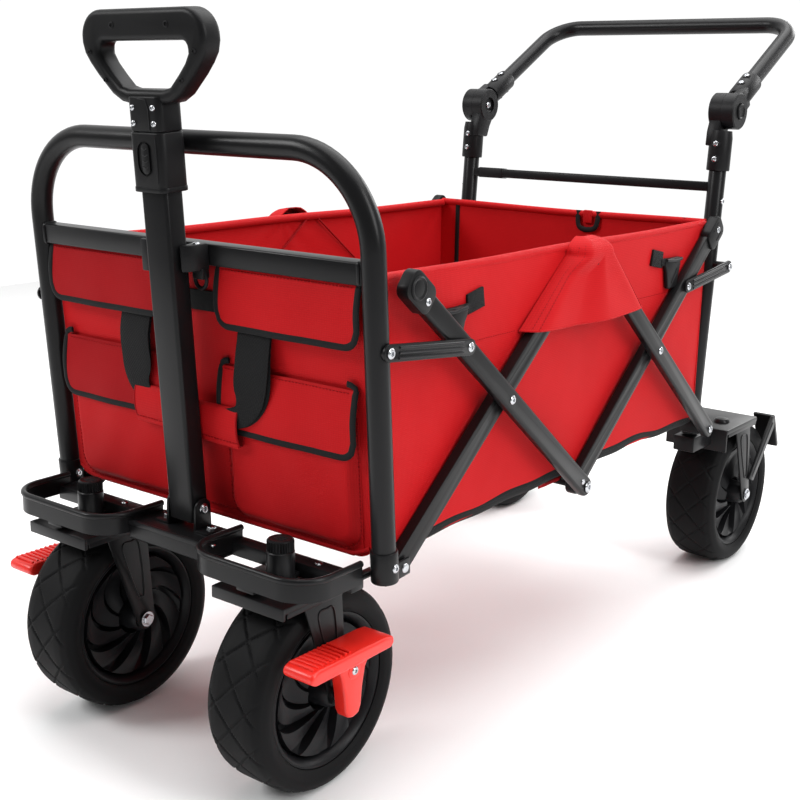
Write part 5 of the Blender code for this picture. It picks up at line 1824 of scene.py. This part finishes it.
        tab = flat(mm((52, 0), (84, 6), (80, 28), (50, 22)), 0.0012, tape, 0.0008)
        band = flat(mm((10, 2), (56, 3), (56, 13), (10, 11)), 0.0022, tape, 0.0008)
        shell = mm((2, 1), (12, -30), (36, -30), (42, -6), (48, 4), (44, 12), (4, 12))
        body = flat(shell, 0.0046, nylon, 0.0016)
        bridge = tube([(s * (BASKET_HALF + 0.004), y, z + 0.009),
            (s * (BASKET_HALF + 0.0052), y + toward * 0.02, z + 0.0075),
            (s * (BASKET_HALF + 0.004), y + toward * 0.045, z + 0.01)], 0.0024, nylon, 12)
        slot = tube([(s * (BASKET_HALF + 0.0046), y + toward * 0.012, z - 0.004),
            (s * (BASKET_HALF + 0.0046), y + toward * 0.027, z - 0.022)], 0.0014, nylon, 8)
        return weld(tab, band, body, bridge, slot)

    def build(self) -> None:
        """Makes the wall and everything sewn to it."""
        wall = cloth_sheet(self.wall_point, 200, 76, (0.75, 0.29), FINISHES.canvas, 0.0014, 0.0, FINISHES.painted_shade_canvas)
        if self.side < 0:
            face_out(wall)
        place, tag = WAGON, self.tag
        settle(wall, f"side_cloth_{tag}", place, Body.REAR, "red_cloth", f"side_panel_{tag}", smooth=60)
        fold_with_basket(wall)
        trims = {
            "hem": (weld(self.hem()), "red_cloth"),
            "pleat": (weld(*self.pleat()), "red_cloth"),
            "seams": (weld(*self.seams()), "red_cloth"),
            "binding": (self.binding(), "black_frame"),
            "front_buckle": (self.buckle(0.104, 0.503, 1), "black_plastic"),
            "rear_buckle": (self.buckle(0.668, 0.507, -1), "black_plastic"),
        }
        for name, (piece, slot) in trims.items():
            settle(piece, f"side_{name}_{tag}", place, Body.REAR, slot, smooth=60)
            fold_with_basket(piece)
        hood = settle(self.hood(), f"side_hood_{tag}", place, Body.REAR, "red_cloth", smooth=60)
        fold_with_basket(hood)


def sewn(obj: Piece, name: str, *nodes: str) -> Piece:
    """Settles a red piece that is sewn to the front wall."""
    return settle(obj, name, FRONT, Body.FRONT, "red_cloth", *nodes, smooth=60)


@dataclass
class FrontWall:
    """The basket's front: panel, pockets and their flaps, webbing straps and the wrapped carry grip."""

    low: float = 0.015
    high: float = 0.303
    half: float = 0.2345

    def panel(self) -> None:
        """The front wall, which bellies a little between its corners."""
        def shape(u: float, v: float) -> Triple:
            across = 2 * u - 1
            x = self.half * across
            trim = 0.02 * (1 - math.sqrt(max(0.0,
                1 - max(0.0, abs(across) - 0.9) ** 2 * 90))) if abs(across) > 0.9 else 0.0
            z = self.low + trim * (1 - v) ** 6 + (self.high - self.low) * v
            belly = 0.0022 * math.sin(math.pi * u) * math.sin(math.pi * v)
            return x, 0.003 - belly + 0.0006 * math.sin(u * 23 + v * 3) * math.sin(math.pi * v), z

        wall = cloth_sheet(shape, 110, 70, (0.469, 0.288), FINISHES.canvas, 0.0014, 0.0, FINISHES.painted_shade_canvas)
        sewn(wall, "front_cloth", "front_panel")
        hem = tube([(x, 0.003, self.low + 0.002 + (0.0 if abs(x) < 0.21 else (abs(x) - 0.21) * 0.5))
            for x in (-self.half + 0.004 + (2 * self.half - 0.008) * i / 40 for i in range(41))], 0.003,
            FINISHES.canvas, 12)
        line = seam([(x, 0.0001 - 0.0004, self.low + 0.014) for x in (-0.215 + 0.43 * i / 60 for i in range(61))],
            (0, -1, 0))
        sewn(weld(hem, line), "front_hem")

    def pocket(self, tag: str, side: int) -> None:
        """A stuffed pocket body with soft shoulders, under its flap."""
        x0, x1, z0, z1, r = 0.036, 0.2225, 0.0215, 0.196, 0.026

        def shape(u: float, v: float) -> Triple:
            x, z = x0 + (x1 - x0) * u, z0 + (z1 - z0) * v
            dx = min(x - x0, x1 - x)
            dz = z - z0
            if dx < r and dz < r:
                edge = r - math.hypot(r - dx, r - dz)
            else:
                edge = min(dx, dz)
            lift = eased(edge / 0.013) * eased((z1 + 0.003 - z) / 0.045)
            puff = 0.0086 * lift + 0.0026 * math.sin(math.pi * u) * (1 - v) * lift
            drag = 0.0006 * math.sin(u * 17 + v * 9) * lift
            return side * x, 0.0018 - puff - drag, z

        body = cloth_sheet(shape, 70, 64, (x1 - x0, z1 - z0), FINISHES.canvas, 0.001)
        if side < 0:
            face_out(body)
        ring = [(x0 + 0.001, z1)] + arc((x0 + r, z0 + r), r - 0.001, 180, 270, 8) + arc((x1 - r, z0 + r), r - 0.001,
            270, 360, 8) + [(x1 - 0.001, z1)]
        line = seam([(side * a, -0.0006, b) for a, b in dense(ring, 0.006)], (0, -1, 0))
        sewn(weld(body, line), f"front_pocket_{tag}")

    def flap(
        self, name: str, side: int, x0: float, x1: float, z_top: float, z_low: float, slope: float, out: float,
            hooks: bool
    ) -> None:
        """A flap with rounded lower corners and black tape round its free edges.

        Args:
            name: the piece's name.
            side: 1 for the right, -1 for the left.
            x0, x1: where it starts and ends across the wagon.
            z_top, z_low: its top and bottom.
            slope: how far its bottom drops from x0 to x1.
            out: how far it stands off the panel.
            hooks: its tape curls over at the top.
        """
        r = 0.016

        def bottom(x: float) -> float:
            """The flap's lower edge."""
            rise = 0.0
            near = min(x - x0, x1 - x)
            if near < r:
                rise = r - math.sqrt(max(0.0, r * r - (r - near) ** 2))
            return z_low - slope * (x - x0) / (x1 - x0) + rise

        def shape(u: float, v: float) -> Triple:
            x = x0 + (x1 - x0) * u
            z = bottom(x) + (z_top - bottom(x)) * v
            drop = 1 - v
            y = -out * (0.3 + 0.7 * math.sin(math.pi / 2 * min(1.0, drop * 1.35)))
            y -= 0.0018 * math.sin(math.pi * u) * drop + 0.0004 * math.sin(u * 15 + side)
            return side * x, y if v < 0.985 else y * 0.8, z

        sheet = cloth_sheet(shape, 56, 34, (x1 - x0, z_top - z_low), FINISHES.canvas, 0.0018, 0.0, FINISHES.painted_shade_canvas)
        if side < 0:
            face_out(sheet)
        ring = [(0.0, 1.0 - i / 14) for i in range(14)] + [(i / 60, 0.0) for i in range(61)] + [(1.0, (i + 1) / 14)
            for i in range(14)]
        tape = tube_flat([shape(u, v) for u, v in ring], 0.004, 0.0018, FINISHES.tape)
        parts = [tape]
        if hooks:
            for u in (0.0, 1.0):
                x, y, z = shape(u, 1.0)
                inward = side * (1 if u == 0.0 else -1)
                parts.append(tube_flat([(x, y, z - 0.002), (x + inward * 0.001, y, z + 0.003),
                    (x + inward * 0.006, y - 0.0004, z + 0.0055), (x + inward * 0.011, y, z + 0.006)], 0.0034, 0.0016,
                    FINISHES.tape))
        line = [shape(0.03 + 0.94 * i / 50, 0.96) for i in range(51)]
        parts.append(seam([(x, y - 0.0012, z) for x, y, z in line], (0, -1, 0)))
        sewn(sheet, name)
        settle(weld(*parts), f"{name}_tape", FRONT, Body.FRONT, "black_frame", smooth=60)

    def straps(self) -> None:
        """The webbing loops that hang from under the flaps and fold into the carry grip."""
        parts = []
        for side in SIDES.values():
            for lift, inset in ((0.0, 0.0), (0.0028, 0.003)):
                points = [
                    (side * 0.0915, -0.0008 - lift * 0.3, 0.266), (side * 0.0915, -0.003 - lift * 0.6, 0.243),
                    (side * 0.0918, -0.0085 - lift, 0.215),
                    (side * (0.0915 - inset), -0.011 - lift, 0.186), (side * (0.0885 - inset), -0.0125 - lift, 0.164),
                    (side * (0.078 - inset), -0.013 - lift, 0.1485), (side * 0.056, -0.0132 - lift, 0.141),
                ]
                path = smooth_line(points, 8)
                halves = [0.0235 - 0.0115 * eased((i / (len(path) - 1) - 0.5) / 0.38) for i in range(len(path))]
                parts.append(strap(path, halves, 0.0011, FINISHES.webbing, (0, -1, 0)))
        sewn(weld(*parts), "carry_webbing")

    def carry_grip(self) -> None:
        """The red cloth wrapped round the webbing, lapped along its lower edge."""
        def shape(u: float, v: float) -> Triple:
            x = -0.091 + 0.16 * u
            turn = math.tau * 0.93 * v - math.pi * 0.42
            high, deep = 0.0205 + 0.001 * math.sin(u * 9), 0.0066
            y = -0.0135 - deep * math.cos(turn) * 0.95
            z = 0.1345 + high * math.sin(turn) + 0.0025 * math.cos(math.pi * u)
            return x, y, z

        wrap = cloth_sheet(shape, 40, 60, (0.16, 0.092), FINISHES.canvas, 0.0012, 0.0, FINISHES.painted_shade_canvas)
        flap_edge = [(-0.091 + 0.16 * i / 40, -0.0172, 0.1175 + 0.0025 * math.cos(math.pi * i / 40)) for i in range(41)]
        lip = tube_flat(flap_edge, 0.0052, 0.001, FINISHES.canvas)
        line = seam([(x, y - 0.0016, z + 0.0012) for x, y, z in flap_edge], (0, -1, 0))
        # The wrap's open ends are edged in the darker canvas, a painted shade for the inside of the wrap.
        ends = [tube_flat([shape(u, i / 40) for i in range(41)], 0.0012, 0.0012, FINISHES.painted_shade_canvas) for u in (0.0, 1.0)]
        sewn(wrap, "carry_grip")
        sewn(weld(lip, line, *ends), "carry_grip_trim")

    def build(self) -> None:
        """Makes the front wall and all that is sewn to it."""
        self.panel()
        for tag, side in SIDES.items():
            self.pocket(tag, side)
            self.flap(f"upper_flap_{tag}", side, 0.043, 0.233, 0.303, 0.242, 0.0, 0.0095, False)
            self.flap(f"lower_flap_{tag}", side, 0.0375, 0.224, 0.196, 0.127, 0.0, 0.0105, True)
        band = block((-0.046, -0.002, 0.252), (0.046, 0.0004, 0.2745), 0.0008, FINISHES.webbing)
        settle(band, "middle_band", FRONT, Body.FRONT, "red_cloth")
        self.straps()
        self.carry_grip()


def dense(ring: Sequence[Pair], step: float) -> list[Pair]:
    """A line with points at most a step apart."""
    out: list[Pair] = []
    for a, b in zip(ring, ring[1:]):
        count = max(1, math.ceil(math.dist(a, b) / step))
        out += [(a[0] + (b[0] - a[0]) * i / count, a[1] + (b[1] - a[1]) * i / count) for i in range(count)]
    return [*out, ring[-1]]


def strap(
    path: Sequence[Triple], halves: Sequence[float], thick: float, finish: Finish, face: Triple
) -> Piece:
    """A flat strap along a line, facing one way, with its own half width at each point.

    Args:
        path: the points it passes through.
        halves: its half width at each point.
        thick: its half thickness.
        finish: the finish it gets.
        face: the way it faces.

    Returns:
        The strap.
    """
    points, up = [Vector(p) for p in path], Vector(face).normalized()
    verts, uvs = [], []
    columns = 8
    run = 0.0
    for i, point in enumerate(points):
        a, b = points[max(0, i - 1)], points[min(len(points) - 1, i + 1)]
        along, half = (b - a).normalized(), halves[i]
        across = along.cross(up).normalized()
        normal = across.cross(along).normalized()
        if i:
            run += (point - points[i - 1]).length
        for layer in (1, -1):
            for k in range(columns + 1):
                t = (2 * k / columns - 1) * layer
                verts.append(point + across * (half * t) + normal * (thick * layer * (1 - 0.6 * abs(t) ** 6)))
                uvs.append((run, half * t))
    ring = 2 * (columns + 1)
    return from_points(verts, ring_faces(len(points), ring, False), finish, uvs)


def tube_flat(path: Sequence[Triple], half: float, thick: float, finish: Finish) -> Piece:
    """Edge tape: a flattened tube along a line in the front wall's plane.

    Args:
        path: the points it passes through.
        half, thick: its half width and half thickness.
        finish: the finish it gets.

    Returns:
        The tape.
    """
    points = [Vector(p) for p in path]
    side = Vector((0, 1, 0))
    verts, ring = [], 10
    for i, point in enumerate(points):
        a, b = points[max(0, i - 1)], points[min(len(points) - 1, i + 1)]
        along = (b - a).normalized()
        across = along.cross(side).normalized()
        for k in range(ring):
            t = math.tau * k / ring
            verts.append(point + across * (half * math.cos(t)) + side * (thick * math.sin(t)))
    uvs = [(i // ring * 0.004, i % ring * half * 0.6) for i in range(len(verts))]
    return from_points(verts, ring_faces(len(points), ring, False), finish, uvs)


@dataclass
class RearWall:
    """The basket's rear wall with its corner tapes and inner loop."""

    def build(self) -> None:
        """Makes the wall, the tapes and the loop."""
        low, high = BASKET_BOTTOM + 0.001, BASKET_TOP - 0.005

        def shape(u: float, v: float) -> Triple:
            x = (BASKET_HALF - 0.0002) * (2 * u - 1)
            belly = 0.0014 * math.sin(math.pi * u) * math.sin(math.pi * v) + 0.0005 * math.sin(u * 21 + v * 4)
            return x, REAR_WALL_Y + 0.0022 + belly, low + (high - low) * v

        wall = cloth_sheet(shape, 90, 60, (0.47, 0.29), FINISHES.canvas, 0.0014, 0.0)
        settle(wall, "rear_cloth", WAGON, Body.REAR, "red_cloth", "rear_panel", smooth=60)
        hem = tube([(x, REAR_WALL_Y + 0.0026, high + 0.0006 - 0.002 * math.sin((x + 0.23) * 6.8) ** 2)
            for x in (-0.2318 + 0.4636 * i / 50 for i in range(51))], 0.0052, FINISHES.canvas, 18)
        parts = [hem]
        for side in SIDES.values():
            x = side * 0.2005
            line = [(x, REAR_WALL_Y + 0.0008, low + 0.004 + (high - low + 0.001) * i / 30) for i in range(31)]
            parts.append(tube_flat(line, 0.0042, 0.0018, FINISHES.tape))
        loop = [(0.026, -0.0005, high + 0.004), (0.0262, -0.0022, high - 0.01), (0.03, -0.0028, high - 0.021),
            (0.043, -0.003, high - 0.0245), (0.056, -0.0028, high - 0.021), (0.0598, -0.0022, high - 0.01),
            (0.06, -0.0005, high + 0.004)]
        parts.append(tube_flat([(x, REAR_WALL_Y + y, z) for x, y, z in smooth_line(loop, 6)], 0.004, 0.0016,
            FINISHES.tape))
        tongue = block((0.036, REAR_WALL_Y - 0.0042, high - 0.014), (0.05, REAR_WALL_Y + 0.001, high + 0.0052), 0.001,
            FINISHES.canvas)
        parts.append(tongue)
        base = tube_flat([(-0.232 + 0.464 * i / 50, REAR_WALL_Y + 0.003, low + 0.0032) for i in range(51)], 0.0046,
            0.0024, FINISHES.tape)
        parts.append(base)
        settle(weld(*parts), "rear_trim", WAGON, Body.REAR, "red_cloth", smooth=60)


@dataclass
class Floor:
    """The folding floor: three cloth-covered boards with sewn edges."""

    def board(self, name: str, low: Triple, high: Triple, body: Body, node: str) -> None:
        """A cloth-covered board with a shallow sewn channel near its edges."""
        # The boards are covered in the darker canvas, a painted shade for the basket's floor.
        obj = block(low, high, 0.0, FINISHES.painted_shade_canvas)
        bpy.ops.object.mode_set(mode="EDIT")
        bpy.ops.mesh.select_all(action="DESELECT")
        bpy.ops.object.mode_set(mode="OBJECT")
        for face in obj.data.polygons:
            face.select = abs(face.normal.z) > 0.9
        bpy.ops.object.mode_set(mode="EDIT")
        bpy.ops.mesh.inset(thickness=0.01, use_individual=True)
        bpy.ops.mesh.inset(thickness=0.0025, depth=-0.0008, use_individual=True)
        bpy.ops.mesh.inset(thickness=0.0025, depth=0.0008, use_individual=True)
        bpy.ops.object.mode_set(mode="OBJECT")
        round_edges(obj, 0.0012)
        layer = obj.data.uv_layers.active or obj.data.uv_layers.new(name="UVMap")
        for loop in obj.data.loops:
            layer.data[loop.index].uv = obj.data.vertices[loop.vertex_index].co.xy
        settle(obj, name, WAGON, body, "red_cloth", node)

    def build(self) -> None:
        """Makes the three boards."""
        half = 0.2225
        self.board("floor_board_front", (-half, 0.0122, 0.2692), (half, 0.3368, 0.2748), Body.FLOOR_FRONT,
            "floor_front")
        self.board("floor_board_rear", (-half, 0.4202, 0.2692), (half, 0.7448, 0.2748), Body.FLOOR_REAR, "floor_rear")
        self.board("floor_board_middle", (-half, 0.3407, 0.2615), (half, 0.4163, 0.2671), Body.REAR_INNER,
            "floor_middle")


# ---- studio ----
@dataclass
class Studio:
    """The camera, the pale floor and the soft lights."""

    eye: Triple = (0.98774, -0.93959, 0.73812)
    yaw: float = 37.546
    pitch: float = -13.982
    roll: float = 0.966
    lens: float = 56.35

    def camera(self) -> None:
        """Sets up the camera."""
        data = bpy.data.cameras.new("camera")
        data.lens, data.sensor_width, data.clip_start = self.lens, 36.0, 0.01
        camera = bpy.data.objects.new("camera", data)
        bpy.context.scene.collection.objects.link(camera)
        yaw, pitch, roll = (math.radians(a) for a in (self.yaw, self.pitch, self.roll))
        turn = Matrix.Rotation(yaw, 4, "Z") @ Matrix.Rotation(math.pi / 2 + pitch, 4, "X") @ Matrix.Rotation(roll, 4,
            "Z")
        x, y, z = self.eye
        camera.matrix_world = Matrix.Translation((x, y + ZERO_Y, z)) @ turn
        bpy.context.scene.camera = camera

    def lamp(self, name: str, place: Triple, target: Triple, size: Pair, power: float) -> None:
        """Adds a soft area lamp that looks at a point."""
        data = bpy.data.lights.new(name, "AREA")
        data.shape, data.size, data.size_y, data.energy = "RECTANGLE", *size, power
        lamp = bpy.data.objects.new(name, data)
        bpy.context.scene.collection.objects.link(lamp)
        lamp.location = place
        lamp.rotation_euler = (Vector(target) - Vector(place)).to_track_quat("-Z", "Y").to_euler()

    def surround(self) -> None:
        """Lights the room like a sweep: white behind the wagon, dim towards the viewer."""
        world = bpy.data.worlds.new("studio")
        world.use_nodes = True
        tree = world.node_tree
        where = add_node(tree, "ShaderNodeTexCoord", {}, {}).outputs["Generated"]
        yaw = math.radians(self.yaw)
        along = add_node(tree, "ShaderNodeVectorMath", {"operation": "DOT_PRODUCT"}, {0: where})
        along.inputs[1].default_value = (-math.sin(yaw), math.cos(yaw), 0.0)
        bright = add_node(
            tree, "ShaderNodeMapRange",
            {"interpolation_type": "SMOOTHSTEP", "From Min": -0.15, "From Max": 0.62, "To Min": 0.22, "To Max": 1.05},
            {"Value": along.outputs["Value"]},
        )
        tree.links.new(bright.outputs["Result"], tree.nodes["Background"].inputs["Strength"])
        tree.nodes["Background"].inputs["Color"].default_value = (1, 1, 1, 1)
        bpy.context.scene.world = world

    def build(self) -> None:
        """Makes the camera, floor, surround and lamps."""
        self.camera()
        take()
        bpy.ops.mesh.primitive_plane_add(size=6.0)
        floor = bpy.context.object
        floor.name = "studio_floor"
        material = bpy.data.materials.new("matt_white_paper")
        material.use_nodes = True
        shader = material.node_tree.nodes["Principled BSDF"]
        shader.inputs["Base Color"].default_value = linear("F9F9F9")
        shader.inputs["Roughness"].default_value = 0.9
        floor.data.materials.append(material)
        self.surround()
        self.lamp("key", (-1.9, -2.4, 2.4), (0, 0, 0.4), (1.2, 1.2), 60)
        self.lamp("side", (2.8, -0.2, 2.0), (0, 0, 0.35), (0.9, 2.2), 58)
        self.lamp("top", (0.2, 0.4, 3.0), (0, 0, 0.0), (3.2, 3.2), 105)
        self.lamp("back", (0.4, 3.2, 1.8), (0, 0, 0.5), (2.0, 1.2), 34)
        bpy.context.scene.view_settings.view_transform = "Standard"


def main() -> None:
    """Builds the wagon in order."""
    logging.basicConfig(level=logging.INFO, format="%(message)s")
    Studio().build()
    FrontHoop().build()
    HandleClip().build()
    Subframe().build()
    PullHandle().build()
    for tag, side in SIDES.items():
        Caster(side, tag).build()
    Wheel().build_all()
    RearFrame().build()
    PushBar().build()
    for tag, side in SIDES.items():
        RearBracket(side, tag).build()
    Scissors().build()
    for tag, side in SIDES.items():
        SideWall(side, tag).build()
    FrontWall().build()
    RearWall().build()
    Floor().build()
    take()


if __name__ == "__main__":
    main()
